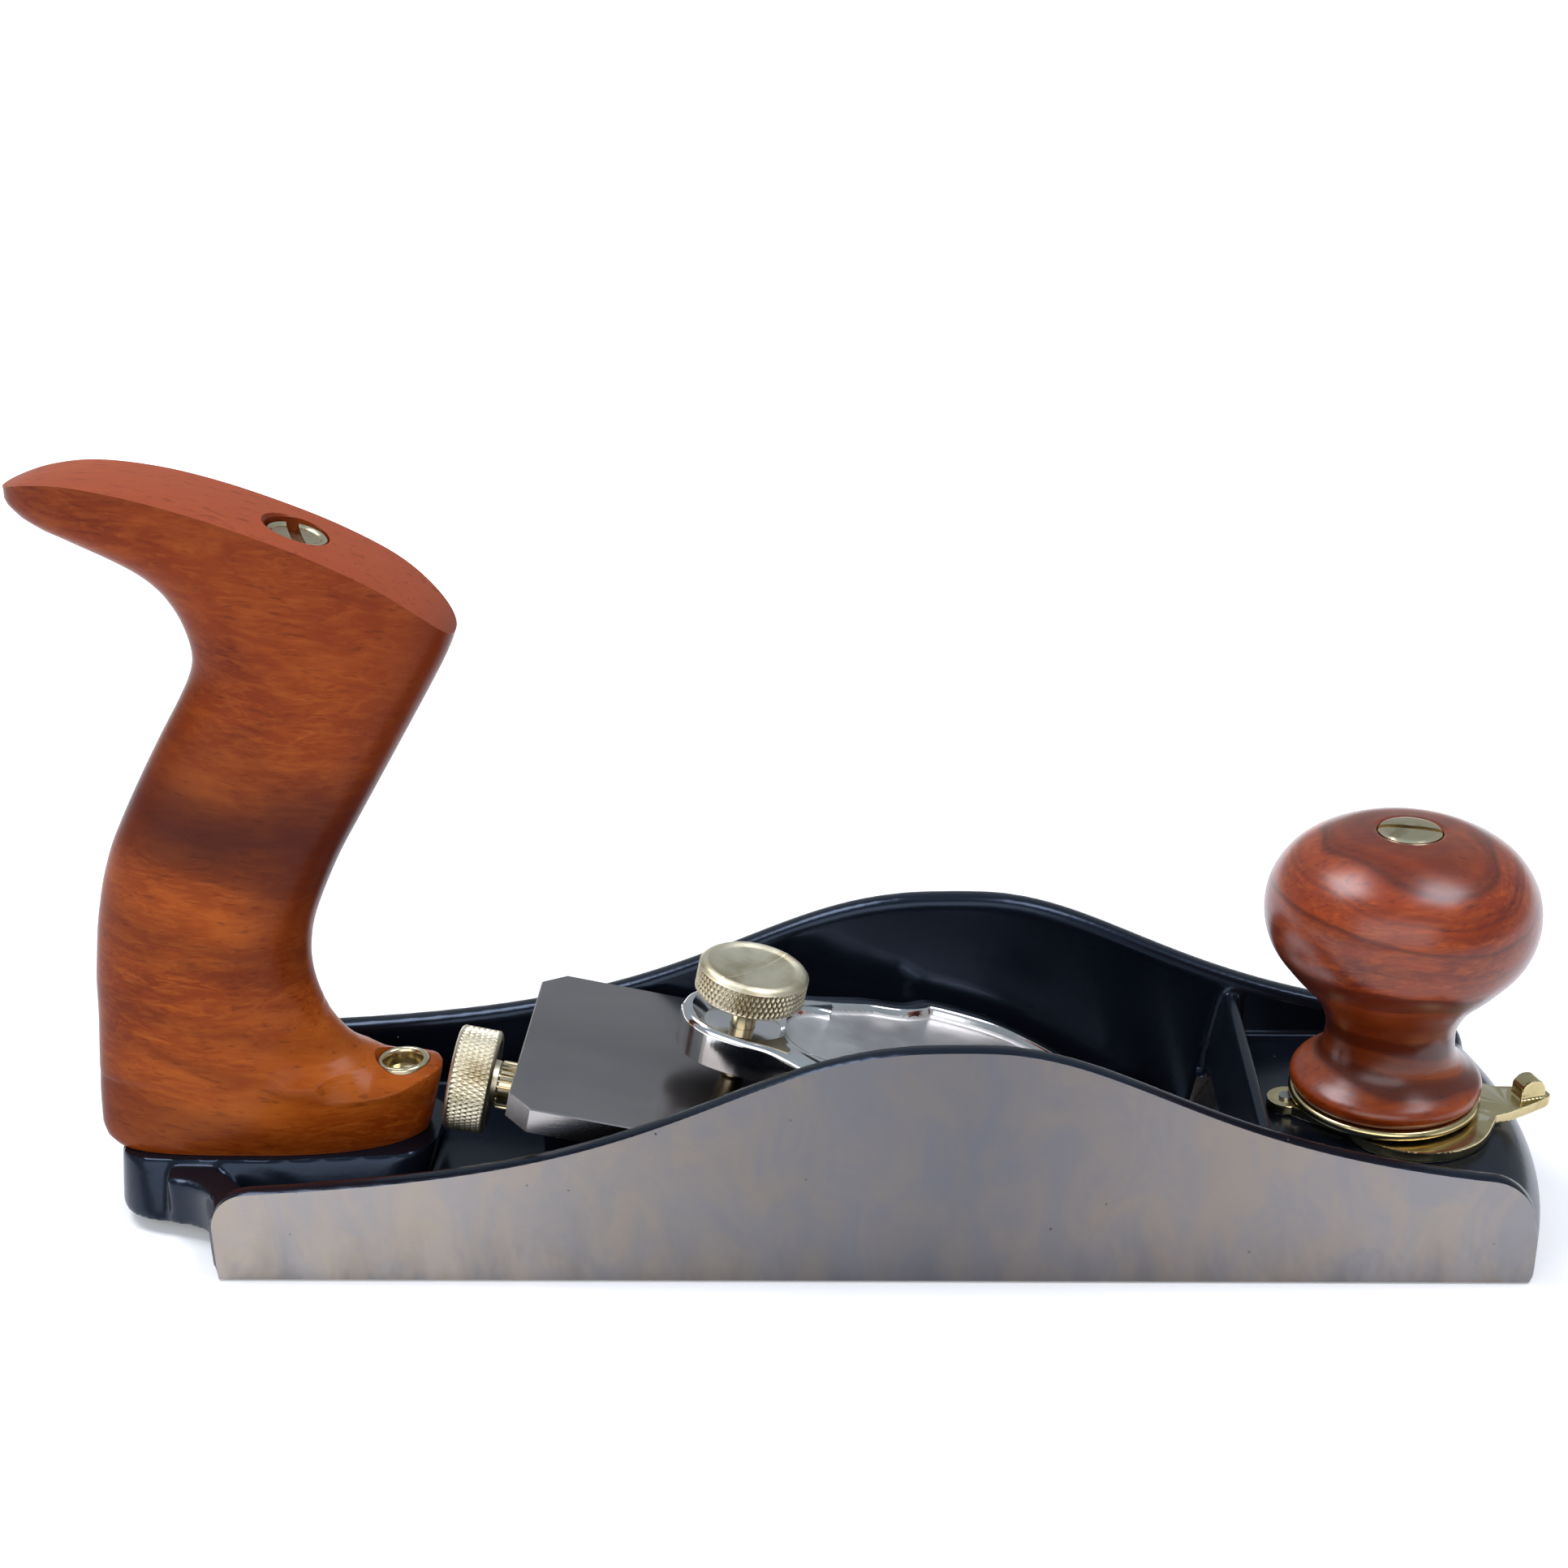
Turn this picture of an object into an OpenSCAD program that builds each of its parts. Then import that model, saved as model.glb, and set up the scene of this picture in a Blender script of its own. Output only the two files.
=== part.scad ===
// Low-angle, bevel-up smoothing plane with an adjustable mouth.
// Millimetres. Origin: centre of the sole. +X towards the toe, +Y to the left, +Z up.
// Parts that lie along the blade are drawn in bed coordinates: x runs down the bed
// from the back of the blade, z stands square to the bed and is 0 on its surface.

/* [Body] */
// Length of the flat sides of the sole
sole_length = 228.6; // [226:0.2:234]
// Width of the body over the ground cheeks
body_width = 64.6; // [63:0.2:68]
// Thickness of each cheek
cheek_thickness = 4.2; // [3.4:0.1:4.6]
// Height of the cheeks at their crest
cheek_height = 45.3; // [42:0.1:50]
// Thickness of the sole casting
sole_thickness = 5; // [4:0.1:5.4]
// Height of the deck under the front knob
deck_height = 16.5; // [16:0.1:17]
// How far the rounded nose stands forward of the sides
nose_bulge = 5.4; // [4.6:0.1:6.4]

/* [Blade] */
// Angle of the bed to the sole
bed_angle = 12; // [11.5:0.1:12.4]
// Width of the blade
blade_width = 50.8; // [46:0.1:51.2]
// Thickness of the blade
blade_thickness = 4.8; // [4.2:0.1:5]
// Length of the blade
blade_length = 126.5; // [125:0.1:127]
// Angle of the bevel on the upper face of the blade
bevel_angle = 25; // [23:1:35]

/* [Mouth] */
// Position of the back edge of the mouth, forward of the sole centre
mouth_x = 59.3; // [59:0.1:59.6]
// Opening between cutting edge and toe plate
mouth_gap = 1.6; // [1.4:0.1:2.2]
// Length of the sliding toe plate
toe_plate_length = 40; // [36:0.5:41]
// Advance of the toe plate for one radian of the lever
lever_rise = 2.75; // [2.4:0.05:3]

/* [Knob] */
// Position of the front knob
knob_x = 92.3; // [92:0.1:92.8]
// Largest diameter of the knob
knob_diameter = 48.4; // [40:0.2:50]
// Height of the knob
knob_height = 50.6; // [46:0.1:54]

/* [Lever cap] */
// Distance down the bed from the back of the blade to the thumbscrew
thumbscrew_at = 37.7; // [37:0.1:39]
// Distance down the bed from the back of the blade to the lever cap screw
cap_screw_at = 84; // [83:0.1:85]
// Diameter of the thumbscrew head
thumbscrew_diameter = 19.8; // [17:0.1:20.4]

/* [Depth adjuster] */
// Diameter of the depth adjusting wheel
adjuster_diameter = 19; // [17:0.1:19]
// Width of the depth adjusting wheel
adjuster_width = 7.6; // [6:0.1:7.6]
// Depth of the adjuster axis below the bed
adjuster_drop = 6.4; // [6.3:0.1:6.6]

/* [Tote] */
// Greatest thickness of the rear handle
tote_thickness = 21.4; // [19:0.2:23]
// Height of the platform under the rear handle
platform_height = 12.4; // [12:0.1:12.6]
// Forward lean of the long handle rod
rod_lean = 16; // [15:0.5:17]

/* [Hidden] */
$fn = 64;
ca = cos(bed_angle);
sa = sin(bed_angle);
half_l = sole_length / 2;
half_w = body_width / 2;
bed_x = mouth_x - blade_length * ca;
bed_z = blade_length * sa;
inner_w = half_w - cheek_thickness;
knob_z = deck_height + 4.7;
nose_r = (half_w * half_w + nose_bulge * nose_bulge) / (2 * nose_bulge);
nose_cx = half_l + nose_bulge - nose_r;
plate_x = mouth_x + mouth_gap;
plate_t = 8;
plate_w = 51.4;
pocket_w = plate_w / 2 + 0.3;
pin_r = 17.8;
tote_top_x = -94.7;
tote_top_z = 124.9;
paint = [0.06, 0.07, 0.09];
steel = [0.55, 0.53, 0.51];
brass = [0.75, 0.66, 0.42];
nickel = [0.82, 0.82, 0.84];
wood = [0.62, 0.26, 0.13];

// Places children in bed coordinates.
module on_bed() translate([bed_x, 0, bed_z]) rotate([0, bed_angle, 0]) children();

// Places children on the axis of the depth adjuster, z pointing down the bed.
module on_adjuster() on_bed() translate([0, 0, -adjuster_drop]) rotate([0, 90, 0]) children();

// Places children on the long handle rod, z = 0 at the mouth of its recess.
module on_tote_rod() translate([tote_top_x, 0, tote_top_z]) rotate([0, rod_lean, 0]) children();

// Extrudes a side view (x, z) to a slab between two y values.
module side_slab(y0, y1) translate([0, y1, 0]) rotate([90, 0, 0]) linear_extrude(y1 - y0) children();

function bed_height(x) = (mouth_x - x) * sa / ca;
function arc(cx, cy, r, a0, a1, n) =
    [for (i = [0:n]) let (a = a0 + (a1 - a0) * i / n) [cx + r * cos(a), cy + r * sin(a)]];

// Point on a smooth curve through p, at position t counted in points.
function cr(p, t) =
    let (n = len(p) - 1, i = min(floor(t), n - 1), u = t - i,
         a = p[max(i - 1, 0)], b = p[i], c = p[i + 1], d = p[min(i + 2, n)])
    0.5 * (2 * b + (c - a) * u + (2 * a - 5 * b + 4 * c - d) * u * u
           + (3 * b - a - 3 * c + d) * u * u * u);
function smooth(p, k) = [for (i = [0:(len(p) - 1) * k]) cr(p, i / k)];

// Height of the cheek's upper edge: a bell curve, steeper towards the toe.
function cheek_top(x) = let (u = x < 16.2 ? (16.2 - x) / 55.8 : (x - 16.2) / 48.9,
                             e = x < 16.2 ? 2.74 : 2.29, z = x < 16.2 ? 14.2 : 14.5)
    z + (cheek_height - z) / (1 + pow(max(u, 0.0001), e));

// ---- Casting ----

module cheek_outline() {
    r0 = 6;
    r1 = 9.5;
    x0 = -half_l + r0;
    x1 = half_l - 0.4 - r1;
    n = 64;
    polygon(concat([[-half_l, 0], [x1 + r1, 0]],
        arc(x1, cheek_top(x1) - r1, r1, 0, 76, 6),
        [for (i = [1:n - 1]) let (x = x1 + (x0 - x1) * i / n) [x, cheek_top(x)]],
        arc(x0, cheek_top(x0) - r0, r0, 90, 180, 6)));
}

// Rounded nose: a bull-nosed profile swept about the centre of the plan curve.
module nose_profile() {
    r = nose_r;
    z = deck_height - 0.05;
    polygon(concat([[r - 24, 0], [r - 0.6, 0], [r, 1.2]],
        arc(r - 9, z - 9, 9, 0, 90, 9), [[r - 24, z]]));
}

module nose() intersection() {
    translate([nose_cx, 0, 0]) rotate([0, 0, -45]) rotate_extrude(angle = 90, $fn = 180) nose_profile();
    translate([half_l - 26, -half_w, 0]) cube([60, body_width, 40]);
}

// Heel walls, swept in on plan from the cheeks to the tail.
module heel() difference() {
    x = -half_l - 0.6;
    r = 10.9;
    for (s = [-1, 1]) scale([1, s, 1]) linear_extrude(platform_height - 0.4)
        polygon(concat([[x + 6.1, half_w], [x, half_w]], arc(x - r, 29.4, r, 0, -90, 8),
            arc(x - r, 29.4, r + 6.1, -90, 0, 8)));
    translate([-130, -40, -1]) cube([130 - half_l - 0.4, 80, 3.3]);
}

// Tail and the raised platform that carries the rear handle.
module ridge() hull() {
    for (s = [-1, 1]) {
        translate([-126.8, s * 7.7, 2.1]) cylinder(r = 9.5, h = 0.2, $fn = 40);
        translate([-92, s * 7.8, 2.1]) cylinder(r = 9.4, h = 0.2, $fn = 32);
        translate([-130, s * 6.9, platform_height - 0.2]) cylinder(r = 5.8, h = 0.2, $fn = 40);
        translate([-110, s * 6.7, platform_height - 0.2]) cylinder(r = 6.8, h = 0.2, $fn = 32);
        translate([-87, s * 4.1, platform_height - 0.2]) cylinder(r = 7.2, h = 0.2, $fn = 32);
    }
}

// Solid ramp under the front of the blade, and the ribs behind it.
module bed() {
    side_slab(-inner_w - 1, inner_w + 1)
        polygon([[2, 0], [mouth_x, 0], [2, bed_height(2)]]);
    for (y = [-22, 17])
        side_slab(y, y + 5) polygon([[-56, 1], [6, 1], [6, bed_height(6)], [-56, bed_height(-56)]]);
    side_slab(-22, 22) polygon([[-58, 1], [-50, 1], [-50, bed_height(-50)], [-58, bed_height(-58)]]);
    on_adjuster() translate([0, 0, 7]) cylinder(r = 6.2, h = 15.5);
    side_slab(-3.5, 3.5) polygon([[-54, 1], [-46.5, 1], [-46.5, 17], [-54, 19]]);
}

// Cross rib that closes the throat in front of the blade.
module rib() side_slab(-inner_w - 1, inner_w + 1)
    polygon(concat([[68.6, 8.4], [68.6, 24]], arc(67.2, 24.4, 1.4, 10, 160, 5), [[63.4, 12], [63.4, 8.4]]));

module deck() translate([64.5, -inner_w - 1, 0]) cube([41, 2 * inner_w + 2, deck_height]);

module body() color(paint) difference() {
    union() {
        for (y = [-half_w, inner_w]) side_slab(y, y + cheek_thickness) cheek_outline();
        translate([-half_l, -inner_w - 1, 0]) cube([half_l + 8, 2 * inner_w + 2, sole_thickness]);
        for (y = [-inner_w - 1, pocket_w]) translate([0, y, 0]) cube([70, inner_w + 1 - pocket_w, 8.4]);
        nose();
        heel();
        ridge();
        bed();
        rib();
        deck();
    }
    // Bed surface, mouth, and the pocket of the toe plate.
    on_bed() translate([-6, -inner_w - 0.05, -0.05]) cube([blade_length + 6.5, 2 * inner_w + 0.1, 14]);
    translate([mouth_x, -pocket_w, -1]) cube([4.1, 2 * pocket_w, 12]);
    translate([mouth_x, -pocket_w, -1]) cube([plate_x + toe_plate_length + 2.2 - mouth_x, 2 * pocket_w, 9.3]);
    // Slot for the stud of the toe plate.
    for (x = [knob_x - 2.4, knob_x + 3.2]) translate([x, 0, 5]) cylinder(d = 8, h = 20);
    translate([knob_x - 2.4, -3.9, 5]) cube([5.6, 7.8, 20]);
    // Hole for the eccentric pin.
    translate([knob_x - pin_r, 0, 9]) cylinder(r = 1.35, h = 20);
    // Bore of the depth adjuster.
    on_adjuster() translate([0, 0, 2]) cylinder(r = 3.05, h = 30);
    // Threaded holes of the lever cap screw and the handle rods.
    on_bed() translate([cap_screw_at, 0, -7.5]) cylinder(r = 3.5, h = 20);
    on_tote_rod() translate([0, 0, -126]) cylinder(r = 2.8, h = 60);
    translate([-86, 0, 3]) cylinder(r = 2.3, h = 20);
}

// ---- Mouth and knob ----

module toe_plate() color(steel) difference() {
    side_slab(-plate_w / 2, plate_w / 2)
        polygon([[plate_x, 0], [plate_x + toe_plate_length, 0],
                 [plate_x + toe_plate_length, plate_t], [plate_x + 3.2, plate_t], [plate_x, 2.2]]);
    translate([knob_x, 0, 1.5]) cylinder(r = 3.05, h = 20);
}

module toe_stud() color(steel) translate([knob_x, 0, 2]) cylinder(r = 3, h = knob_z + knob_height - 9.6);

module knob_nut() color(brass) translate([knob_x, 0, knob_z + knob_height - 9]) difference() {
    union() {
        cylinder(d = 8, h = 7);
        translate([0, 0, 6.6]) cylinder(d = 11.2, h = 2.6);
        translate([0, 0, 9.2]) cylinder(d1 = 11.2, d2 = 9, h = 0.4);
    }
    translate([0, 0, -1]) cylinder(r = 3.05, h = 3.2);
    rotate([0, 0, -12]) translate([-8, -0.7, 8.2]) cube([16, 1.4, 4]);
}

// Half outline of the knob: foot, waist and ball.
module knob_half() {
    k = knob_diameter / 48.4;
    h = knob_height / 50.6;
    p = smooth([[16.7, 0.4], [17.3, 1.6], [16.9, 3.2], [14.4, 5.2], [12.3, 7.6], [11.6, 11], [12, 14.6],
                [14.4, 19], [19, 24], [22.8, 29.2], [24.2, 35], [23.1, 40.8], [19.3, 45.9], [12.8, 49.5],
                [6.6, 50.6]], 3);
    polygon(concat([[0, 0], [16.2, 0]], [for (q = p) [q[0] * k, q[1] * h]], [[0, knob_height]]));
}

module knob() color(wood) translate([knob_x, 0, knob_z]) difference() {
    rotate_extrude($fn = 96) knob_half();
    translate([0, 0, -1]) cylinder(r = 3.3, h = knob_height);
    translate([0, 0, knob_height - 9.4]) cylinder(d = 8.3, h = 12);
    translate([0, 0, knob_height - 2.5]) cylinder(d = 11.5, h = 12);
}

module knob_washer() color(brass) translate([knob_x, 0, knob_z - 2.1]) difference() {
    union() {
        cylinder(r = 17.4, h = 1.3);
        translate([0, 0, 1.3]) cylinder(r1 = 17.4, r2 = 17, h = 0.7);
    }
    translate([0, 0, -1]) cylinder(r = 3.3, h = 5);
}

// Distance of the eccentric slot from the pivot pin, at an angle in the lever.
function slot_radius(a) = pin_r - lever_rise * a * PI / 180;
function polar(r, a) = [r * cos(a) - pin_r, r * sin(a)];

// Eccentric lever: it turns on a pin behind the knob, and its curved slot carries the stud.
module mouth_lever() color(brass) translate([knob_x, 0, deck_height + 0.1]) {
    a0 = -33.5;
    a1 = 14.5;
    difference() {
        union() {
            translate([4.4, -5.8, 0]) cylinder(r = 14, h = 2);
            cylinder(r = 10.2, h = 2);
            translate([0.4 - pin_r, 0.3, 0]) cylinder(r = 3.9, h = 2);
            linear_extrude(2) polygon([[0.4 - pin_r, -3.4], [-8, -11], [17, -12], [19.6, -6.3], [22.1, -5.3],
                [26.1, -2.8], [30.4, 0.2], [31.2, 1.4], [30.6, 3.2], [26, 4.4], [21.3, 4.5], [19.2, 5.8],
                [14, 9], [0, 9.6], [0.4 - pin_r, 4]]);
            on_tab() rotate([90, 0, 0]) linear_extrude(3.8, center = true)
                polygon(concat([[-2.5, 0.7], [2.5, 0.7]], arc(0, 3.2, 2.5, 0, 180, 10)));
        }
        linear_extrude(12, center = true) polygon(concat(
            [for (a = [a0:2:a1]) polar(slot_radius(a) - 3.1, a)],
            [for (i = [165:-15:15]) polar(slot_radius(a1), a1) + 3.1 * [cos(a1 + i), sin(a1 + i)]],
            [for (a = [a1:-2:a0]) polar(slot_radius(a) + 3.1, a)],
            [for (i = [-15:-15:-165]) polar(slot_radius(a0), a0) + 3.1 * [cos(a0 + i), sin(a0 + i)]]));
        translate([-pin_r, 0, -1]) cylinder(r = 1.36, h = 5);
    }
}

module on_tab() translate([27, 1.5, 0]) rotate([0, 0, 17]) children();

module mouth_pin() color(steel) translate([knob_x - pin_r, 0, 9.2]) cylinder(r = 1.3, h = deck_height - 6.6);

// ---- Blade and lever cap ----

module blade() color(steel) on_bed() difference() {
    translate([0, blade_width / 2, 0]) rotate([90, 0, 0]) linear_extrude(blade_width)
        polygon([[0, 0], [blade_length, 0],
                 [blade_length - blade_thickness / tan(bevel_angle), blade_thickness],
                 [0, blade_thickness]]);
    for (s = [-1, 1]) translate([0, s * blade_width / 2, -1]) rotate([0, 0, 45])
        translate([-3, -3, 0]) cube([6, 6, 10]);
    // Slot for the lever cap screw.
    translate([cap_screw_at - 14, -6.2, -1]) cube([24, 12.4, 10]);
    translate([cap_screw_at - 14, 0, -1]) cylinder(d = 12.4, h = 10);
    translate([cap_screw_at + 10, 0, -1]) cylinder(d = 12.4, h = 10);
    // Cross groove for the disc of the depth adjuster.
    translate([24.9, -7, -1]) cube([2.2, 14, 3.3]);
}

// Height above the blade of the cap's upper edge, along the bed.
module cap_side() {
    s = cap_screw_at - 84;
    polygon(concat([[112 + s, 0]], smooth([[112 + s, 1], [104 + s, 3.4], [95 + s, 6.6], [86 + s, 9.2],
        [77 + s, 10.3], [66, 10.7], [54, 11.4], [42, 12.4], [26, 12.8]], 3),
        [[26, 5.4], [88 + s, 5.2], [102 + s, 2.4], [108 + s, 0]]));
}

// Plan of the cap: round tail, waist, shoulders, parallel front.
module cap_plan(inset = 0) {
    s = cap_screw_at - 84;
    p = smooth([[26.2 + inset, 0], [27.4 + inset, 4.4], [31, 8.2], [37.5, 10.4], [43.5, 11.4], [50, 14.6],
                [59, 18.9], [66.2, 20.6], [70.8, 24], [76, 24.3]], 3);
    q = concat([for (a = p) [a[0], max(a[1] - inset, 0)]], [[112 + s - inset * 1.6, 24.3 - inset]]);
    polygon(concat(q, [for (i = [len(q) - 1:-1:0]) [q[i][0], -q[i][1]]]));
}

module cap_panel_plan() intersection() {
    cap_plan(4.4);
    union() {
        translate([53.5, 0]) circle(r = 9);
        translate([53.5, -30]) square([60, 60]);
    }
}

module lever_cap() color(nickel) on_bed() translate([0, 0, blade_thickness + 0.05]) difference() {
    intersection() {
        linear_extrude(20) cap_plan();
        translate([0, 30, 0]) rotate([90, 0, 0]) linear_extrude(60) cap_side();
    }
    // Sunk panel and dished land round the thumbscrew.
    intersection() {
        translate([0, 0, 3]) linear_extrude(20) cap_panel_plan();
        translate([0, 30, 8.4]) rotate([90, 0, 0]) linear_extrude(60)
            polygon([[40, 2], [60, 1.3], [76, 0.3], [86, -0.9], [95, -3.6], [104, -6.6], [112, -9],
                     [112, 12], [40, 12]]);
    }
    translate([thumbscrew_at, 0, 10.2]) cylinder(r = 7.6, h = 5);
    translate([thumbscrew_at, 0, -1]) cylinder(r = 2.27, h = 20);
    // Keyhole and the seat of the screw head.
    translate([cap_screw_at, 0, -1]) cylinder(r = 3.8, h = 20);
    translate([cap_screw_at, -3.8, -1]) cube([9.5, 7.6, 20]);
    translate([cap_screw_at + 9.5, 0, -1]) cylinder(r = 6.1, h = 20);
    translate([cap_screw_at, 0, 7]) cylinder(r = 6.1, h = 20);
    translate([cap_screw_at, -6.1, 7]) cube([9.5, 12.2, 20]);
}

module lever_cap_screw() color(steel) on_bed() translate([cap_screw_at, 0, 0]) difference() {
    union() {
        translate([0, 0, -7.3]) cylinder(r = 3.45, h = blade_thickness + 14.8);
        translate([0, 0, blade_thickness + 7.15]) cylinder(r = 5.6, h = 2);
        translate([0, 0, blade_thickness + 9.15]) cylinder(r1 = 5.6, r2 = 4.6, h = 0.6);
    }
    translate([-0.6, -8, blade_thickness + 8.6]) cube([1.2, 16, 4]);
}

module cap_wheel() color(brass) on_bed() translate([thumbscrew_at, 0, blade_thickness + 16.4]) difference() {
    r = thumbscrew_diameter / 2;
    rotate_extrude($fn = 96) polygon([[0, 0], [r - 0.6, 0], [r, 0.6], [r, 5.2], [r - 0.5, 5.8],
        [r - 1.3, 6.2], [r - 2.1, 5.8], [0, 5.2]]);
    translate([0, 0, -1]) cylinder(r = 2.25, h = 4);
}

module cap_wheel_screw() color(brass) on_bed() translate([thumbscrew_at, 0, blade_thickness]) {
    translate([0, 0, 0.1]) cylinder(r = 2.2, h = 19);
    translate([0, 0, 14.3]) cylinder(r = 3.9, h = 2);
}

// ---- Depth adjuster ----

module adjuster_wheel() color(brass) on_adjuster() translate([0, 0, -4.2 - adjuster_width]) difference() {
    r = adjuster_diameter / 2;
    w = adjuster_width;
    rotate_extrude($fn = 96) polygon([[0, 0.8], [r - 2, 0.8], [r - 1.4, 0], [r - 0.6, 0], [r, 0.6],
        [r, w - 0.6], [r - 0.6, w], [r - 1.6, w], [r - 2.2, w - 0.6], [4.6, w - 0.6], [4.2, w + 0.7], [0, w + 0.7]]);
    translate([0, 0, 3]) cylinder(r = 3.05, h = 10);
}

module adjuster_collar() color(brass) on_adjuster() translate([0, 0, -3.4]) difference() {
    cylinder(r = 4.4, h = 5.4);
    for (i = [0:23]) rotate([0, 0, i * 15]) translate([4.4, -0.3, -1]) cube([1, 0.6, 4.6]);
    translate([0, 0, -1]) cylinder(r = 3.05, h = 10);
}

module adjuster_spindle() color(steel) on_adjuster() translate([0, 0, -8.6]) cylinder(r = 3, h = 37.4);

module adjuster_disc() color(steel) on_adjuster() translate([0, 0, 25.1]) difference() {
    cylinder(r = adjuster_drop + 1.8, h = 1.8);
    translate([0, 0, -1]) cylinder(r = 3.05, h = 4);
}

// ---- Rear handle ----

// Back and front outlines of the handle as [height, x], straight sections lofted between.
tote_back = [[12.4, -138.2], [14, -139.8], [16, -140.3], [22, -140.1], [30, -139.4], [36, -138.8],
    [43, -138.4], [54, -136.7], [62, -134.7], [69, -132.2], [76.4, -128.4], [83.3, -124.6],
    [90, -120.7], [96, -117], [101, -114.4], [104, -113.9], [107, -114.5], [110, -115.3],
    [113, -116.8], [116.5, -119.5], [119.5, -124], [122, -129.6], [125, -136.1], [127, -139.2],
    [129.5, -141.3], [131, -141.2], [136, -141.4]];
tote_front = [[12.4, -82.2], [15, -81.4], [20, -80.1], [24, -79.2], [26, -79], [26.9, -79.8], [27.4, -82],
    [27.9, -86.5], [28.6, -90.3], [29.8, -92.8], [31.3, -94.9], [33.2, -96.6], [35.5, -98.1],
    [38.5, -99.3], [42, -100.2], [46, -100.6], [50, -100.2], [54.2, -99.2], [60.5, -96.5], [67, -93.3],
    [78.3, -86.6], [89.3, -80.1], [98, -75], [104, -71.6], [108.4, -69.9], [116, -68.8], [136, -68.8]];
tote_wide = [[12.4, 11.7], [16, 12], [24, 11.9], [30, 11.6], [40, 11], [50, 10.5], [80, 10.2], [100, 10.6],
    [115, 10.7], [136, 10.4]];
// Bluntness of the front and back of the section: small is blunt, 1 is an ellipse.
tote_blunt = [[12.4, 0.9], [26, 0.9], [28, 1.1], [40, 1.1], [55, 0.9], [80, 0.8], [136, 0.78]];
tote_heel_blunt = [[12.4, 0.55], [20, 0.62], [40, 0.86], [56, 0.86], [66, 0.8], [136, 0.8]];

// One horizontal section: rounded back, slimmer front, flattened sides.
function tote_ring(z) =
    let (b = lookup(z, tote_back), f = lookup(z, tote_front), k = tote_thickness / 21.4,
         w = lookup(z, tote_wide) * k, m = (b + f) / 2, r = (f - b) / 2)
    [for (i = [0:35]) let (a = i * 10, c = cos(a), s = sin(a),
        e = lookup(z, c > 0 ? tote_blunt : tote_heel_blunt))
        [m + r * sign(c) * pow(abs(c), e), w * sign(s) * pow(abs(s), e), z]];

module tote_loft() {
    zs = concat([platform_height + 0.05, 14, 16, 20, 24, 26, 26.9, 27.4, 27.9, 28.6, 29.8, 31.3, 33.2, 35.5],
        [for (z = [38:3:137]) z]);
    rings = [for (z = zs) tote_ring(min(z, 136) + (z > 136 ? 0.01 : 0))];
    n = 36;
    m = len(rings);
    polyhedron([for (g = rings) for (p = g) p], concat(
        [[for (i = [0:n - 1]) i]],
        [for (j = [0:m - 2]) for (i = [0:n - 1]) let (k = (i + 1) % n)
            each [[j * n + i, j * n + n + i, j * n + n + k], [j * n + i, j * n + n + k, j * n + k]]],
        [[for (i = [n - 1:-1:0]) (m - 1) * n + i]]));
}

// Crest line of the handle from the horn to the front.
module tote_crest() polygon(concat([[-150, 0], [-150, 131.4]],
    smooth([[-141.9, 131.6], [-136, 133.2], [-128.7, 133.6], [-119, 132.2], [-109.5, 129.7], [-100, 126.4],
            [-90.6, 122.5], [-81.3, 117.6], [-75, 112.6], [-70.6, 107.6], [-69, 103.4]], 3),
    [[-60, 100], [-60, 0]]));

module tote() color(wood) difference() {
    intersection() {
        tote_loft();
        side_slab(-20, 20) tote_crest();
    }
    on_tote_rod() translate([0, 0, -130]) cylinder(r = 3.2, h = 140);
    on_tote_rod() translate([0, 0, -12]) cylinder(r = 5.35, h = 30);
    translate([-86, 0, 5]) cylinder(r = 2.8, h = 30);
    translate([-86, 0, 19.5]) cylinder(r = 4.9, h = 30);
}

module tote_rod() color(steel) on_tote_rod() translate([0, 0, -122]) cylinder(r = 2.75, h = 115);

module tote_nut() color(brass) on_tote_rod() translate([0, 0, -11.6]) difference() {
    cylinder(r = 5.15, h = 10.4);
    translate([0, 0, -1]) cylinder(r = 2.8, h = 6);
    translate([-0.8, -8, 8.4]) cube([1.6, 16, 4]);
}

module tote_front_rod() color(steel) translate([-86, 0, 4]) cylinder(r = 2.25, h = 17.2);

module tote_front_nut() color(brass) translate([-86, 0, 19.8]) difference() {
    cylinder(r = 4.7, h = 5.6);
    translate([0, 0, -1]) cylinder(r = 2.3, h = 2.8);
    translate([0, 0, 4.4]) cylinder(r = 3.4, h = 3);
    rotate([0, 0, 60]) translate([-6, -0.7, 3]) cube([12, 1.4, 4]);
}

body();
toe_plate();
toe_stud();
knob();
knob_nut();
knob_washer();
mouth_lever();
mouth_pin();
blade();
lever_cap();
lever_cap_screw();
cap_wheel();
cap_wheel_screw();
adjuster_wheel();
adjuster_collar();
adjuster_spindle();
adjuster_disc();
tote();
tote_rod();
tote_nut();
tote_front_rod();
tote_front_nut();
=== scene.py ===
import math
import bpy
import bmesh
from mathutils import Vector, Matrix
import numpy as np


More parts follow.
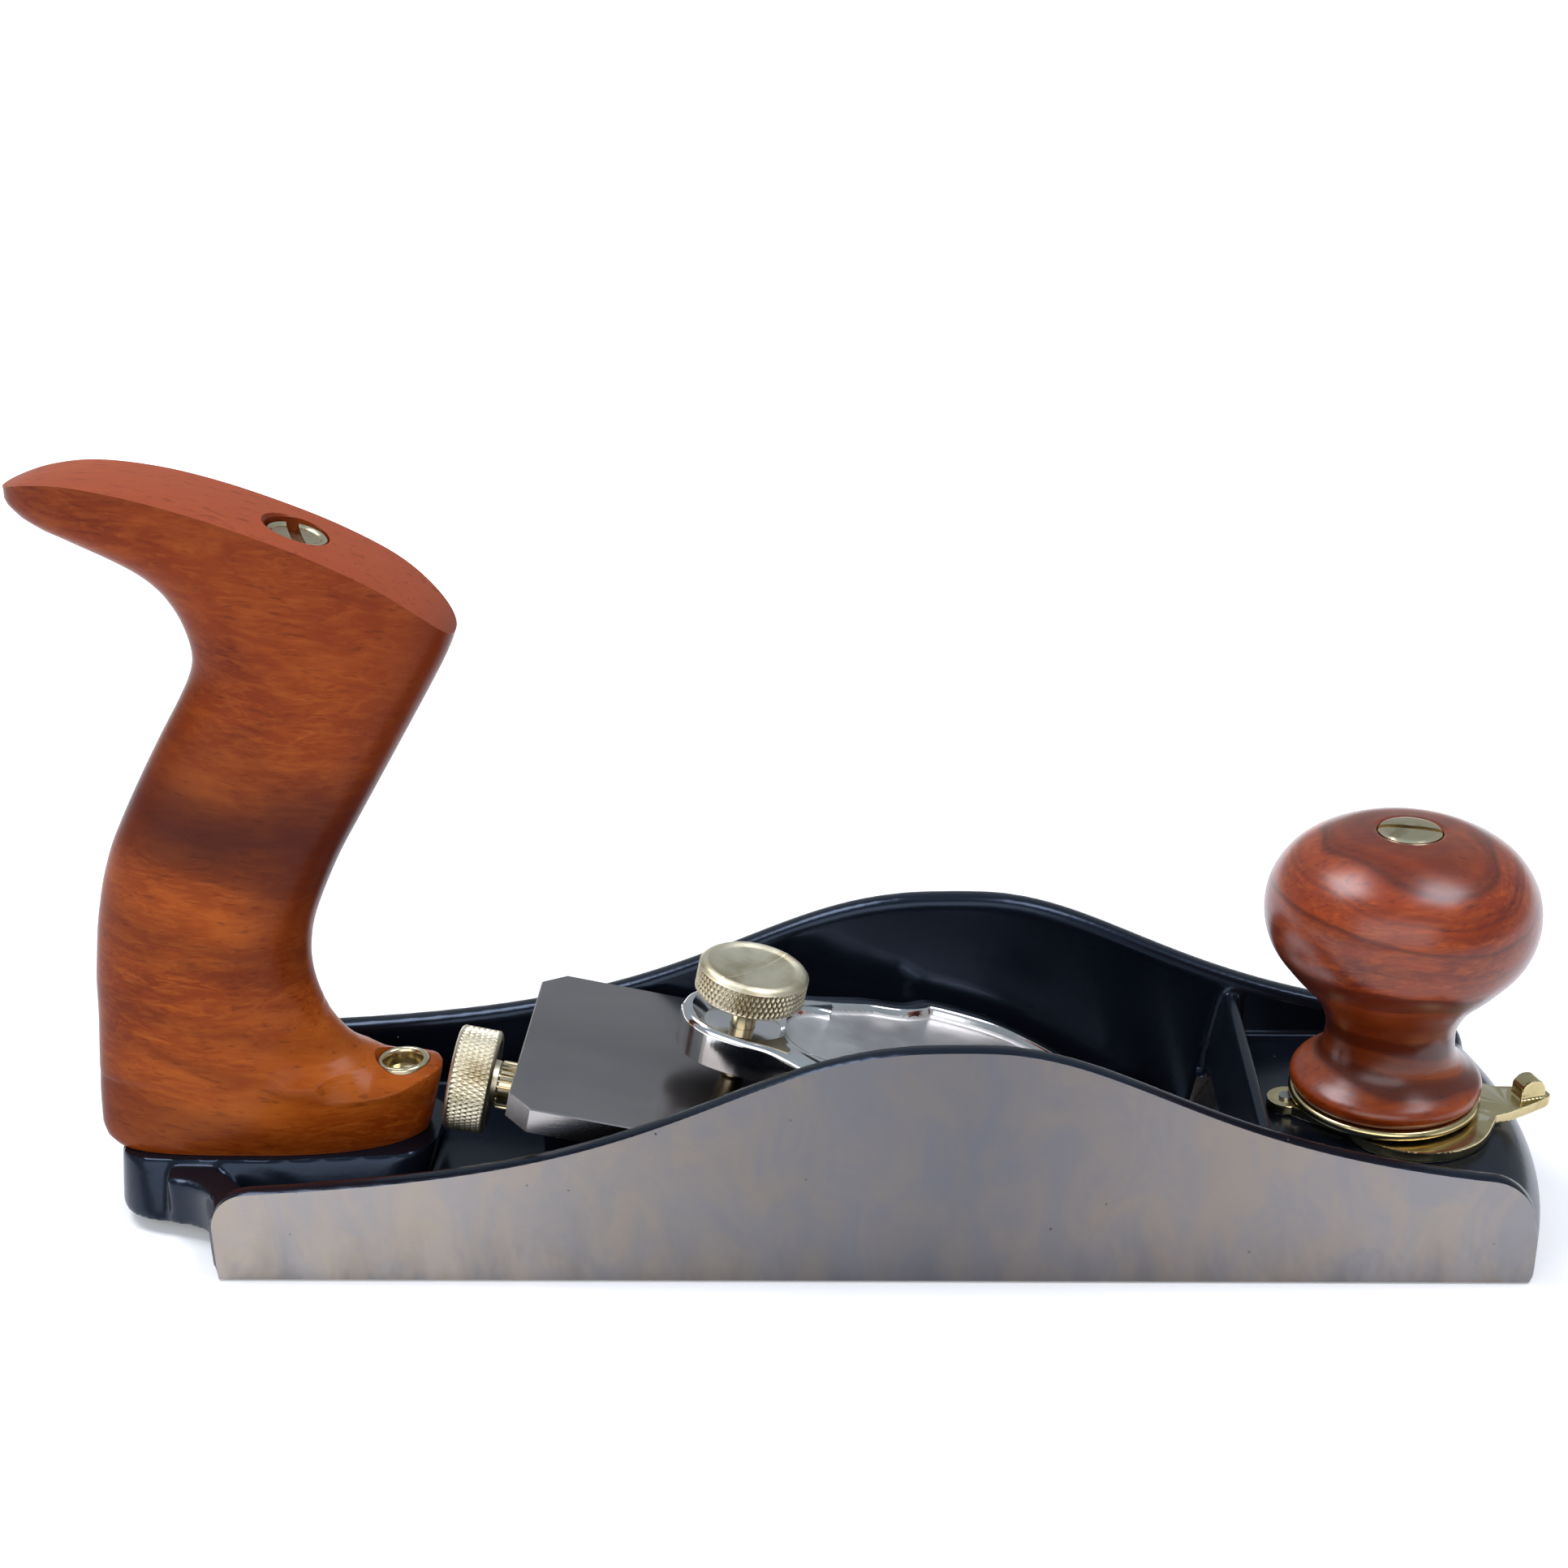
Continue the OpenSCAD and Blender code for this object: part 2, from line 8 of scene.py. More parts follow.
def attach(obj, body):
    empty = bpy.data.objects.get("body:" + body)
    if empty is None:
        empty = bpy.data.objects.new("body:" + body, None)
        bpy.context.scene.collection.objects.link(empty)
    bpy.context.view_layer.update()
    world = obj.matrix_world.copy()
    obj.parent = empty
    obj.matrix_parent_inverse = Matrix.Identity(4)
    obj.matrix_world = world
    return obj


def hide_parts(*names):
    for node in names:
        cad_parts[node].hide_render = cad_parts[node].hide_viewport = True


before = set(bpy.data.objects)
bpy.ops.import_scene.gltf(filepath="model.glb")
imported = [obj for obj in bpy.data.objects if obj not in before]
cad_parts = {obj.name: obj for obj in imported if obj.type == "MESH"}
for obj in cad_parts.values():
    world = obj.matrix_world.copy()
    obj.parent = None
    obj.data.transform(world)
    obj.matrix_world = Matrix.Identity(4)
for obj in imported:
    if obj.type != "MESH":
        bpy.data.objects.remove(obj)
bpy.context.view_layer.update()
MM = 0.001

# ---------------------------------------------------------------- camera
CAM_POS = Vector((0.003887, -0.385351, 0.237702))
YAW, PITCH, ROLL = 0.786, 25.553, 0.586
LENS, SHIFT = 55.59, (-0.0935, 0.0890)


def camera():
    y, p, r = (math.radians(a) for a in (YAW, PITCH, ROLL))
    fwd = Vector((math.sin(y) * math.cos(p), math.cos(y) * math.cos(p), -math.sin(p)))
    right0 = Vector((math.cos(y), -math.sin(y), 0))
    up0 = right0.cross(fwd)
    right = math.cos(r) * right0 + math.sin(r) * up0
    up = -math.sin(r) * right0 + math.cos(r) * up0
    cam = bpy.data.objects.new("camera", bpy.data.cameras.new("camera"))
    bpy.context.scene.collection.objects.link(cam)
    cam.matrix_world = Matrix((
        (right.x, up.x, -fwd.x, CAM_POS.x), (right.y, up.y, -fwd.y, CAM_POS.y),
        (right.z, up.z, -fwd.z, CAM_POS.z), (0, 0, 0, 1)))
    cam.data.sensor_width = 36
    cam.data.lens = LENS
    cam.data.shift_x, cam.data.shift_y = SHIFT
    cam.data.clip_start = 0.01
    bpy.context.scene.camera = cam


# ---------------------------------------------------------------- materials
class Mat:
    """Small helper that builds one Principled material from nodes."""

    def __init__(self, name, **sockets):
        self.m = bpy.data.materials.new(name)
        self.m.use_nodes = True
        self.t = self.m.node_tree
        self.bsdf = self.t.nodes["Principled BSDF"]
        for k, v in sockets.items():
            self.bsdf.inputs[k.replace("_", " ")].default_value = v
        self.co = self.t.nodes.new("ShaderNodeTexCoord").outputs["Object"]

    def node(self, kind, **props):
        n = self.t.nodes.new("ShaderNode" + kind)
        for k, v in props.items():
            setattr(n, k, v)
        return n

    def link(self, a, b):
        self.t.links.new(a, b)

    def mapping(self, scale=(1, 1, 1), rot=(0, 0, 0), loc=(0, 0, 0), src=None):
        n = self.node("Mapping")
        n.inputs["Scale"].default_value = scale
        n.inputs["Rotation"].default_value = rot
        n.inputs["Location"].default_value = loc
        self.link(src or self.co, n.inputs["Vector"])
        return n.outputs[0]

    def noise(self, freq, detail=3, rough=0.5, distort=0, vec=None, **mp):
        n = self.node("TexNoise")
        n.inputs["Scale"].default_value = freq
        n.inputs["Detail"].default_value = detail
        n.inputs["Roughness"].default_value = rough
        n.inputs["Distortion"].default_value = distort
        self.link(vec or self.mapping(**mp), n.inputs["Vector"])
        return n.outputs["Fac"]

    def ramp(self, fac, stops):
        n = self.node("ValToRGB")
        el = n.color_ramp.elements
        while len(el) > 1:
            el.remove(el[0])
        for i, (p, c) in enumerate(stops):
            e = el[0] if i == 0 else el.new(p)
            e.position = p
            c = (c, c, c) if isinstance(c, (int, float)) else c
            e.color = (*c, 1)
        self.link(fac, n.inputs["Fac"])
        return n.outputs["Color"]

    def math(self, op, a, b=None, c=None):
        n = self.node("Math", operation=op)
        for i, v in enumerate((a, b, c)):
            if v is None:
                continue
            if isinstance(v, (int, float)):
                n.inputs[i].default_value = v
            else:
                self.link(v, n.inputs[i])
        return n.outputs[0]

    def mix(self, fac, a, b, blend="MIX"):
        n = self.node("Mix", data_type="RGBA", blend_type=blend)
        for i, v in ((0, fac), (6, a), (7, b)):
            if isinstance(v, (int, float)):
                n.inputs[i].default_value = v
            elif isinstance(v, tuple):
                n.inputs[i].default_value = (*v, 1)
            else:
                self.link(v, n.inputs[i])
        return n.outputs[2]

    def out(self, color=None, rough=None, height=None, strength=0.2, dist=0.0001):
        if color is not None:
            self.link(color, self.bsdf.inputs["Base Color"])
        if rough is not None:
            self.link(rough, self.bsdf.inputs["Roughness"])
        if height is not None:
            b = self.node("Bump")
            b.inputs["Strength"].default_value = strength
            b.inputs["Distance"].default_value = dist
            self.link(height, b.inputs["Height"])
            self.link(b.outputs[0], self.bsdf.inputs["Normal"])
        return self.m


def edge_wear_and_highlight(m, lo=0.52, hi=0.60):
    """Bright line along convex edges: rubbed wear, and a painted highlight along the arrises."""
    g = m.node("NewGeometry")
    return m.ramp(g.outputs["Pointiness"], [(lo, 0.0), (hi, 1.0)])


def mat_ground(name):
    """Surface-ground iron: a slow drift of grey along the cheek, which is a painted reflection, lighter at
    both ends and darkest near the middle; mottled patches, scratches and pits.
    """
    m = Mat(name, Metallic=1.0, Anisotropic=0.4)
    along = m.node("SeparateXYZ")
    m.link(m.co, along.inputs[0])
    fac = m.math("MULTIPLY_ADD", along.outputs[0], 1 / (2 * HALF_L * MM), 0.5)
    reflection_drift = m.noise(17, 3, 0.55, 0.5)
    fac = m.math("ADD", fac, m.math("MULTIPLY_ADD", reflection_drift, 0.16, -0.08))
    # Painted reflection: the grey of the metal is lighter at both ends of the cheek and darkest near its
    # middle.
    tones = [(0.02, (0.36, 0.325, 0.295)), (0.16, (0.33, 0.298, 0.272)), (0.30, (0.235, 0.215, 0.200)),
             (0.44, (0.175, 0.165, 0.162)), (0.56, (0.140, 0.138, 0.147)), (0.70, (0.200, 0.180, 0.170)),
             (0.82, (0.245, 0.222, 0.210)), (0.97, (0.285, 0.262, 0.250))]
    col = m.ramp(fac, tones)
    patch = m.noise(70, 4, 0.62, 0.7, scale=(1.5, 1, 0.8))
    cool = m.mix(1.0, col, (0.89, 0.92, 0.99), "MULTIPLY")
    warm = m.mix(1.0, col, (1.06, 1.01, 0.94), "MULTIPLY")
    col = m.mix(m.ramp(patch, [(0.40, 0.0), (0.62, 1.0)]), cool, warm)
    # Darker, bluer patches towards the bottom of the cheek, fading out 14 mm up.
    darkening = m.noise(85, 3, 0.6, 0.4, scale=(1.6, 1, 0.6), loc=(1, 4, 2))
    low = m.math("MULTIPLY", m.ramp(along.outputs[2], [(0.0, 1.0), (0.014, 0.0)]),
                 m.ramp(darkening, [(0.42, 0.0), (0.66, 1.0)]))
    col = m.mix(m.math("MULTIPLY", low, 0.42), col, (0.100, 0.102, 0.118))
    scratch = (1, 30, 30)
    fine = m.noise(420, 2, 0.6, scale=scratch)
    fine2 = m.noise(1500, 2, 0.7, scale=scratch)
    col = m.mix(m.math("MULTIPLY", fine, 0.20), col, (0.10, 0.095, 0.09))
    speck = m.node("TexVoronoi", feature="F1")
    speck.inputs["Scale"].default_value = 210
    m.link(m.mapping(), speck.inputs["Vector"])
    sp = m.ramp(speck.outputs["Distance"], [(0.045, 1.0), (0.085, 0.0)])
    gate = m.ramp(m.noise(140, 1), [(0.585, 0.0), (0.60, 1.0)])
    col = m.mix(m.math("MULTIPLY", sp, gate), col, (0.02, 0.018, 0.018))
    r = m.math("ADD", m.math("MULTIPLY", fine, 0.10), 0.26)
    r = m.math("ADD", r, m.math("MULTIPLY", patch, 0.14))
    h = m.math("ADD", m.math("MULTIPLY", fine2, 0.7), m.math("MULTIPLY", fine, 0.5))
    return m.out(col, r, h, 0.10, 0.00008)


def mat_japan(name="japanning"):
    m = Mat(name, Metallic=0.0, Coat_Weight=0.06, Coat_Roughness=0.10, Specular_IOR_Level=0.36,
            Specular_Tint=(0.50, 0.68, 1.0, 1.0))
    big = m.noise(26, 3, 0.55)
    col = m.ramp(big, [(0.3, (0.0020, 0.0030, 0.0058)), (0.7, (0.0045, 0.0060, 0.0100))])
    dust = m.node("TexVoronoi", feature="F1")
    dust.inputs["Scale"].default_value = 260
    m.link(m.mapping(), dust.inputs["Vector"])
    d = m.ramp(dust.outputs["Distance"], [(0.03, 1.0), (0.055, 0.0)])
    gate = m.ramp(m.noise(60, 1, loc=(5, 5, 5)), [(0.60, 0.0), (0.64, 1.0)])
    col = m.mix(m.math("MULTIPLY", m.math("MULTIPLY", d, gate), 0.7), col, (0.30, 0.28, 0.25))
    col = m.mix(m.math("MULTIPLY", edge_wear_and_highlight(m, 0.56, 0.66), 0.25), col, (0.05, 0.055, 0.070))
    r = m.math("ADD", m.math("MULTIPLY", m.noise(90, 2), 0.12), 0.18)
    h = m.math("ADD", m.noise(420, 2, 0.5), m.math("MULTIPLY", m.noise(1400, 1), 0.4))
    return m.out(col, r, h, 0.22, 0.00012)


def mat_wood(name, tones, tilt, bands, seed, coat, figure, lines, handle=False):
    """Figured cherry: warm body, short flecks, growth lines, pores and a satin finish.

    tones run from dark to pale; coat is the weight and roughness of the finish; the handle also has a dark
    band across the grip, painted shade on its front and back faces and painted light on the up-facing crest,
    while the knob has painted shade on its neck, and convex edges carry a painted highlight.
    """
    m = Mat(name, Coat_Weight=coat[0], Coat_Roughness=coat[1], Specular_IOR_Level=0.06)
    v0 = m.mapping(rot=(0, math.radians(tilt), 0), loc=seed)
    warp = m.noise(14, 3, 0.55, 0.4, vec=v0)
    wv = m.node("VectorMath", operation="MULTIPLY_ADD")
    m.link(warp, wv.inputs[0])
    wv.inputs[1].default_value = (0.006, 0.006, 0.016)
    m.link(v0, wv.inputs[2])
    v = wv.outputs[0]

    def sc(*scale):
        return m.mapping(scale, src=v)
    body = m.noise(24, 4, 0.58, 0.5, vec=sc(1.0, 1.0, 2.0))
    col = m.ramp(body, list(zip((0.28, 0.42, 0.58, 0.74), tones)))
    fleck = m.noise(240, 4, 0.65, 0.8, vec=sc(0.45, 1.0, 1.9))
    col = m.mix(m.math("MULTIPLY", m.ramp(fleck, [(0.46, 0.0), (0.64, 1.0)]), figure), col, tones[3])
    dash = m.noise(520, 3, 0.6, 0.9, vec=sc(0.40, 0.9, 1.9))
    col = m.mix(m.math("MULTIPLY", m.ramp(dash, [(0.50, 0.0), (0.64, 1.0)]), figure * 0.8), col, tones[3])
    level = m.node("SeparateXYZ")
    m.link(v, level.inputs[0])
    ring = m.node("TexNoise", noise_dimensions="1D")
    ring.inputs["Scale"].default_value = bands
    ring.inputs["Detail"].default_value = 3
    bow = m.math("ADD", m.math("MULTIPLY", level.outputs[0], 0.16), level.outputs[2])
    m.link(bow, ring.inputs["W"])
    col = m.mix(m.math("MULTIPLY", m.ramp(ring.outputs["Fac"], [(0.48, 0.0), (0.60, 1.0)]), lines), col,
                tuple(c * 0.36 for c in tones[1]))
    if not handle:
        xyz = m.node("SeparateXYZ")
        m.link(m.co, xyz.inputs[0])
        # Painted shade on the narrow neck of the knob, under its wide top.
        neck_shade = m.ramp(xyz.outputs[2], [(0.026, 0.0), (0.031, 1.0), (0.040, 1.0), (0.052, 0.0)])
        col = m.mix(m.math("MULTIPLY", neck_shade, 0.72), col, (0.050, 0.005, 0.0004))
    if handle:
        xyz = m.node("SeparateXYZ")
        m.link(m.co, xyz.inputs[0])
        x, z = xyz.outputs[0], xyz.outputs[2]
        line = m.math("ADD", z, m.math("MULTIPLY_ADD", x, 0.30, 0.033))
        line = m.math("ADD", line, m.math("MULTIPLY_ADD", body, 0.030, -0.015))
        darkening = m.ramp(m.math("MULTIPLY", line, 6.0), [(0.36, 0.0), (0.435, 1.0), (0.475, 0.8), (0.56, 0.0)])
        col = m.mix(m.math("MULTIPLY", darkening, 0.88), col, (0.045, 0.007, 0.003))
        g = m.node("NewGeometry")
        nrm = m.node("SeparateXYZ")
        m.link(g.outputs["Normal"], nrm.inputs[0])
        # Painted shade on the faces of the grip that look forward, fading in from 30 to 60 mm up.
        front = m.math("MULTIPLY", m.ramp(nrm.outputs[0], [(0.06, 0.0), (0.62, 1.0)]),
                       m.ramp(z, [(0.030, 0.0), (0.060, 1.0)]))
        col = m.mix(m.math("MULTIPLY", front, 0.74), col, (0.070, 0.011, 0.005))
        # Painted shade on the faces of the handle that look back.
        rear = m.ramp(m.math("MULTIPLY", nrm.outputs[0], -1.0), [(0.06, 0.0), (0.60, 1.0)])
        col = m.mix(m.math("MULTIPLY", rear, 0.42), col, (0.100, 0.012, 0.002))
        upper = m.ramp(z, [(0.078, 0.0), (0.105, 1.0)])
        col = m.mix(m.math("MULTIPLY", upper, 0.42), col, (0.115, 0.012, 0.0005))
        # Painted light on the faces that look up near the crest, above about 100 mm.
        top = m.math("MULTIPLY", m.ramp(nrm.outputs[2], [(0.45, 0.0), (0.75, 1.0)]),
                     m.ramp(z, [(0.095, 0.0), (0.105, 1.0)]))
        col = m.mix(m.math("MULTIPLY", top, 0.45), col, (0.42, 0.085, 0.030))
    pores = m.noise(900, 2, 0.6, 0.2, vec=sc(0.25, 1.0, 1.6))
    col = m.mix(m.math("MULTIPLY", m.ramp(pores, [(0.60, 0.0), (0.68, 1.0)]), 0.35), col,
                tuple(c * 0.35 for c in tones[0]))
    # Painted highlight along the arrises, with some rubbed wear, from the paler convex edges.
    col = m.mix(m.math("MULTIPLY", edge_wear_and_highlight(m, 0.53, 0.62), 0.30), col, (0.42, 0.13, 0.05))
    r = m.math("ADD", m.math("MULTIPLY", dash, 0.12), 0.27)
    h = m.math("ADD", m.math("MULTIPLY", dash, 0.8), m.math("MULTIPLY", pores, 0.6))
    return m.out(col, r, h, 0.10, 0.00012)


def mat_brass(name, tone=(0.56, 0.47, 0.29), rough=0.16, knurl=False):
    m = Mat(name, Metallic=1.0)
    tar = m.noise(110, 4, 0.6, 0.5)
    dark = tuple(c * f for c, f in zip(tone, (0.66, 0.60, 0.50)))
    pale = tuple(min(1, c * f) for c, f in zip(tone, (1.10, 1.12, 1.2)))
    col = m.ramp(tar, [(0.3, dark), (0.5, tone), (0.72, pale)])
    edge = edge_wear_and_highlight(m, 0.52, 0.60)
    col = m.mix(m.math("MULTIPLY", edge, 0.6), col, (0.93, 0.86, 0.66))
    fine = m.noise(900, 3, 0.6)
    r = m.math("ADD", m.math("MULTIPLY", tar, 0.14), rough - 0.04 + (0.08 if knurl else 0))
    r = m.math("ADD", r, m.math("MULTIPLY", fine, 0.08))
    return m.out(col, r, fine, 0.06 if not knurl else 0.12, 0.00005)


def mat_nickel(name, rough, lift):
    """Plating; rough is added to its gloss and lift is the depth of its waviness."""
    m = Mat(name, Metallic=1.0)
    n = m.noise(60, 4, 0.55, 0.4)
    col = m.ramp(n, [(0.3, (0.52, 0.505, 0.49)), (0.6, (0.70, 0.69, 0.675)), (0.8, (0.80, 0.79, 0.775))])
    smear = m.noise(260, 3, 0.6, scale=(1, 2, 2))
    r = m.math("ADD", m.math("MULTIPLY", n, 0.07), 0.045 + rough)
    r = m.math("ADD", r, m.math("MULTIPLY", smear, 0.06))
    return m.out(col, r, m.noise(170, 3, 0.5), lift, 0.0003)


def mat_blade(name="blade_steel"):
    m = Mat(name, Metallic=1.0, Anisotropic=0.4)
    n = m.noise(30, 4, 0.6, 0.5, scale=(1, 2, 1))
    # Painted reflection: the polished steel is darkened and browned to the tone of what its face reflects.
    col = m.ramp(n, [(0.3, (0.098, 0.068, 0.070)), (0.55, (0.122, 0.088, 0.090)),
                     (0.75, (0.170, 0.132, 0.125))])
    fine = m.noise(500, 3, 0.6, scale=(1, 22, 22))
    col = m.mix(m.math("MULTIPLY", fine, 0.25), col, (0.11, 0.09, 0.095))
    col = m.mix(m.math("MULTIPLY", edge_wear_and_highlight(m, 0.53, 0.6), 0.6), col, (0.62, 0.60, 0.58))
    r = m.math("ADD", m.math("MULTIPLY", n, 0.12), 0.14)
    r = m.math("ADD", r, m.math("MULTIPLY", fine, 0.08))
    return m.out(col, r, fine, 0.07, 0.00005)


def mat_steel(name="rod_steel"):
    m = Mat(name, Metallic=1.0)
    n = m.noise(120, 3, 0.6, scale=(1, 1, 4))
    col = m.ramp(n, [(0.3, (0.27, 0.26, 0.25)), (0.7, (0.46, 0.45, 0.44))])
    r = m.math("ADD", m.math("MULTIPLY", n, 0.2), 0.22)
    return m.out(col, r, n, 0.1, 0.00005)


# ---------------------------------------------------------------- mesh helpers
def place(name, mesh, mats, body, repl, sharp):
    """Turns a finished mesh in metres into a scene piece, with sharp edges above an angle."""
    mesh.name = name
    mesh.shade_smooth()
    mesh.set_sharp_from_angle(angle=math.radians(sharp))
    for m in mats:
        mesh.materials.append(m)
    o = bpy.data.objects.new(name, mesh)
    bpy.context.scene.collection.objects.link(o)
    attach(o, body)
    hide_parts(*repl)
    return o


def piece(name, bm, mats, body, repl, sharp, where=None):
    """The same from a bmesh in millimetres, moved by the matrix where."""
    bmesh.ops.recalc_face_normals(bm, faces=bm.faces)
    bm.transform(Matrix.Scale(MM, 4) @ (where or Matrix.Identity(4)))
    mesh = bpy.data.meshes.new(name)
    bm.to_mesh(mesh)
    bm.free()
    return place(name, mesh, mats, body, repl, sharp)


def at(x, y, z):
    return Matrix.Translation((x, y, z))


def temp_obj(bm):
    bmesh.ops.recalc_face_normals(bm, faces=bm.faces)
    mesh = bpy.data.meshes.new("tmp")
    bm.to_mesh(mesh)
    bm.free()
    o = bpy.data.objects.new("tmp", mesh)
    bpy.context.scene.collection.objects.link(o)
    return o


def baked(o):
    """Mesh of an object with its modifiers applied; the object is removed."""
    dg = bpy.context.evaluated_depsgraph_get()
    mesh = bpy.data.meshes.new_from_object(o.evaluated_get(dg))
    old = o.data
    bpy.data.objects.remove(o)
    if old.users == 0:
        bpy.data.meshes.remove(old)
    return mesh


def boolean(o, cutters):
    """Cuts a run of temporary objects out of another one, in millimetres."""
    for c in cutters:
        md = o.modifiers.new("b", "BOOLEAN")
        md.operation, md.solver, md.object = "DIFFERENCE", "MANIFOLD", c
        name = o.name
        mesh = baked(o)
        o = bpy.data.objects.new(name, mesh)
        bpy.context.scene.collection.objects.link(o)
        cm = c.data
        bpy.data.objects.remove(c)
        bpy.data.meshes.remove(cm)
    return o


def obj_to_bm(o):
    bm = bmesh.new()
    bm.from_mesh(o.data)
    m = o.data
    bpy.data.objects.remove(o)
    bpy.data.meshes.remove(m)
    return bm


def prism(poly, z0, z1):
    """Solid between two heights over a closed outline in x, y."""
    bm = bmesh.new()
    lo = [bm.verts.new((x, y, z0)) for x, y in poly]
    hi = [bm.verts.new((x, y, z1)) for x, y in poly]
    n = len(poly)
    f = [bm.faces.new(lo[::-1]), bm.faces.new(hi)]
    for i in range(n):
        bm.faces.new((lo[i], lo[(i + 1) % n], hi[(i + 1) % n], hi[i]))
    bmesh.ops.triangulate(bm, faces=f)
    return bm


def slab(poly, y0, y1):
    """Solid between two y values over a closed outline in x, z."""
    bm = bmesh.new()
    a = [bm.verts.new((x, y0, z)) for x, z in poly]
    b = [bm.verts.new((x, y1, z)) for x, z in poly]
    n = len(poly)
    f = [bm.faces.new(a[::-1]), bm.faces.new(b)]
    for i in range(n):
        bm.faces.new((a[i], a[(i + 1) % n], b[(i + 1) % n], b[i]))
    bmesh.ops.triangulate(bm, faces=f)
    return bm


def block(x0, x1, y0, y1, z0, z1):
    return prism([(x0, y0), (x1, y0), (x1, y1), (x0, y1)], z0, z1)


def ring_pts(r, n, cx=0.0, cy=0.0):
    return [(cx + r * math.cos(2 * math.pi * i / n), cy + r * math.sin(2 * math.pi * i / n))
            for i in range(n)]


def rod(r, z0, z1, n=64, cx=0.0, cy=0.0):
    return prism(ring_pts(r, n, cx, cy), z0, z1)


def revolve(profile, n=96):
    """Closed solid of revolution about z from (radius, height) points, ends on the axis."""
    bm = bmesh.new()
    rows = []
    for r, z in profile:
        if r < 1e-6:
            rows.append([bm.verts.new((0, 0, z))])
        else:
            rows.append([bm.verts.new((x, y, z)) for x, y in ring_pts(r, n)])
    for a, b in zip(rows, rows[1:]):
        for i in range(n):
            j = (i + 1) % n
            if len(a) == 1 and len(b) == 1:
                continue
            if len(a) == 1:
                bm.faces.new((a[0], b[j], b[i]))
            elif len(b) == 1:
                bm.faces.new((a[i], a[j], b[0]))
            else:
                bm.faces.new((a[i], a[j], b[j], b[i]))
    return bm


def catmull(p, k):
    """Smooth curve through the points p, k steps to a span."""
    n = len(p) - 1
    out = []
    for j in range(n * k + 1):
        t = j / k
        i = min(int(t), n - 1)
        u = t - i
        a, b, c, d = p[max(i - 1, 0)], p[i], p[i + 1], p[min(i + 2, n)]
        out.append(tuple(0.5 * (2 * b[q] + (c[q] - a[q]) * u + (2 * a[q] - 5 * b[q] + 4 * c[q] - d[q]) * u * u
                                + (3 * b[q] - a[q] - 3 * c[q] + d[q]) * u ** 3) for q in range(len(b))))
    return out


def arc(cx, cy, r, a0, a1, n):
    """Points of an arc about (cx, cy) from angle a0 to a1, in n steps."""
    return [(cx + r * math.cos(math.radians(a0 + (a1 - a0) * i / n)),
             cy + r * math.sin(math.radians(a0 + (a1 - a0) * i / n))) for i in range(n + 1)]


def lookup(v, table):
    """Straight-line value at v in a table of (position, value), held past its ends."""
    if v <= table[0][0]:
        return table[0][1]
    for (a, x), (b, y) in zip(table, table[1:]):
        if v <= b:
            return x + (y - x) * (v - a) / (b - a)
    return table[-1][1]


# ---------------------------------------------------------------- sizes, mm, as in the CAD model
BED = math.radians(12)
CA, SA = math.cos(BED), math.sin(BED)
MOUTH_X, BLADE_L, BLADE_T, BLADE_W = 59.3, 126.5, 4.8, 50.8
HALF_L, HALF_W, CHEEK_T, CHEEK_H = 114.3, 32.3, 4.2, 45.3
INNER_W = HALF_W - CHEEK_T
DECK_Z, PLAT_Z, BULGE = 16.5, 12.4, 5.4
BED_X, BED_Z = MOUTH_X - BLADE_L * CA, BLADE_L * SA
KNOB_X, KNOB_Z, KNOB_H = 92.3, 21.2, 50.6
ADJUSTER_DROP = 6.4
ON_BED = at(BED_X, 0, BED_Z) @ Matrix.Rotation(BED, 4, "Y")
ON_ADJ = ON_BED @ at(0, 0, -ADJUSTER_DROP) @ Matrix.Rotation(math.radians(90), 4, "Y")
ROD_LEAN = math.radians(16)
TOTE_TOP_X, TOTE_TOP_Z = -94.7, 124.9
ON_ROD = at(TOTE_TOP_X, 0, TOTE_TOP_Z) @ Matrix.Rotation(ROD_LEAN, 4, "Y")
TOE_ROD_X = -86
MOUTH_HALF = 26
TOE_PLATE_FRONT, TOE_PLATE_TOP = 103.1, 8.3
CAP_WHEEL_S, CAP_SCREW_S = 37.7, 84
SEAT_GAP = 0.05
PIN_R = 17.8


def cheek_top(x):
    """Height of the cheek: a bell curve that falls away more steeply in front of its peak."""
    peak = 16.2
    if x < peak:
        u, e, z = (peak - x) / 55.8, 2.74, 14.2
    else:
        u, e, z = (x - peak) / 48.9, 2.29, 14.5
    return z + (CHEEK_H - z) / (1 + max(u, 1e-4) ** e)


def bed_height(x):
    return (MOUTH_X - x) * SA / CA


def loft(rows):
    """Closed solid through loops with the same number of points, capped at both ends."""
    bm = bmesh.new()
    vs = [[bm.verts.new(p) for p in row] for row in rows]
    n = len(rows[0])
    for a, b in zip(vs, vs[1:]):
        for i in range(n):
            j = (i + 1) % n
            bm.faces.new((a[i], a[j], b[j], b[i]))
    caps = [bm.faces.new(vs[0][::-1]), bm.faces.new(vs[-1])]
    bmesh.ops.triangulate(bm, faces=caps)
    return bm


def turned(loop, n=96, bend=None):
    """Closed ring turned about z from a closed (radius, height) outline off the axis."""
    bm = bmesh.new()
    cols = []
    for i in range(n):
        t = 2 * math.pi * i / n
        cols.append([bm.verts.new((r * math.cos(t), r * math.sin(t), z))
                     for r, z in (bend(loop, t) if bend else loop)])
    k = len(loop)
    for i in range(n):
        a, b = cols[i], cols[(i + 1) % n]
        for j in range(k):
            bm.faces.new((a[j], b[j], b[(j + 1) % k], a[(j + 1) % k]))
    return bm


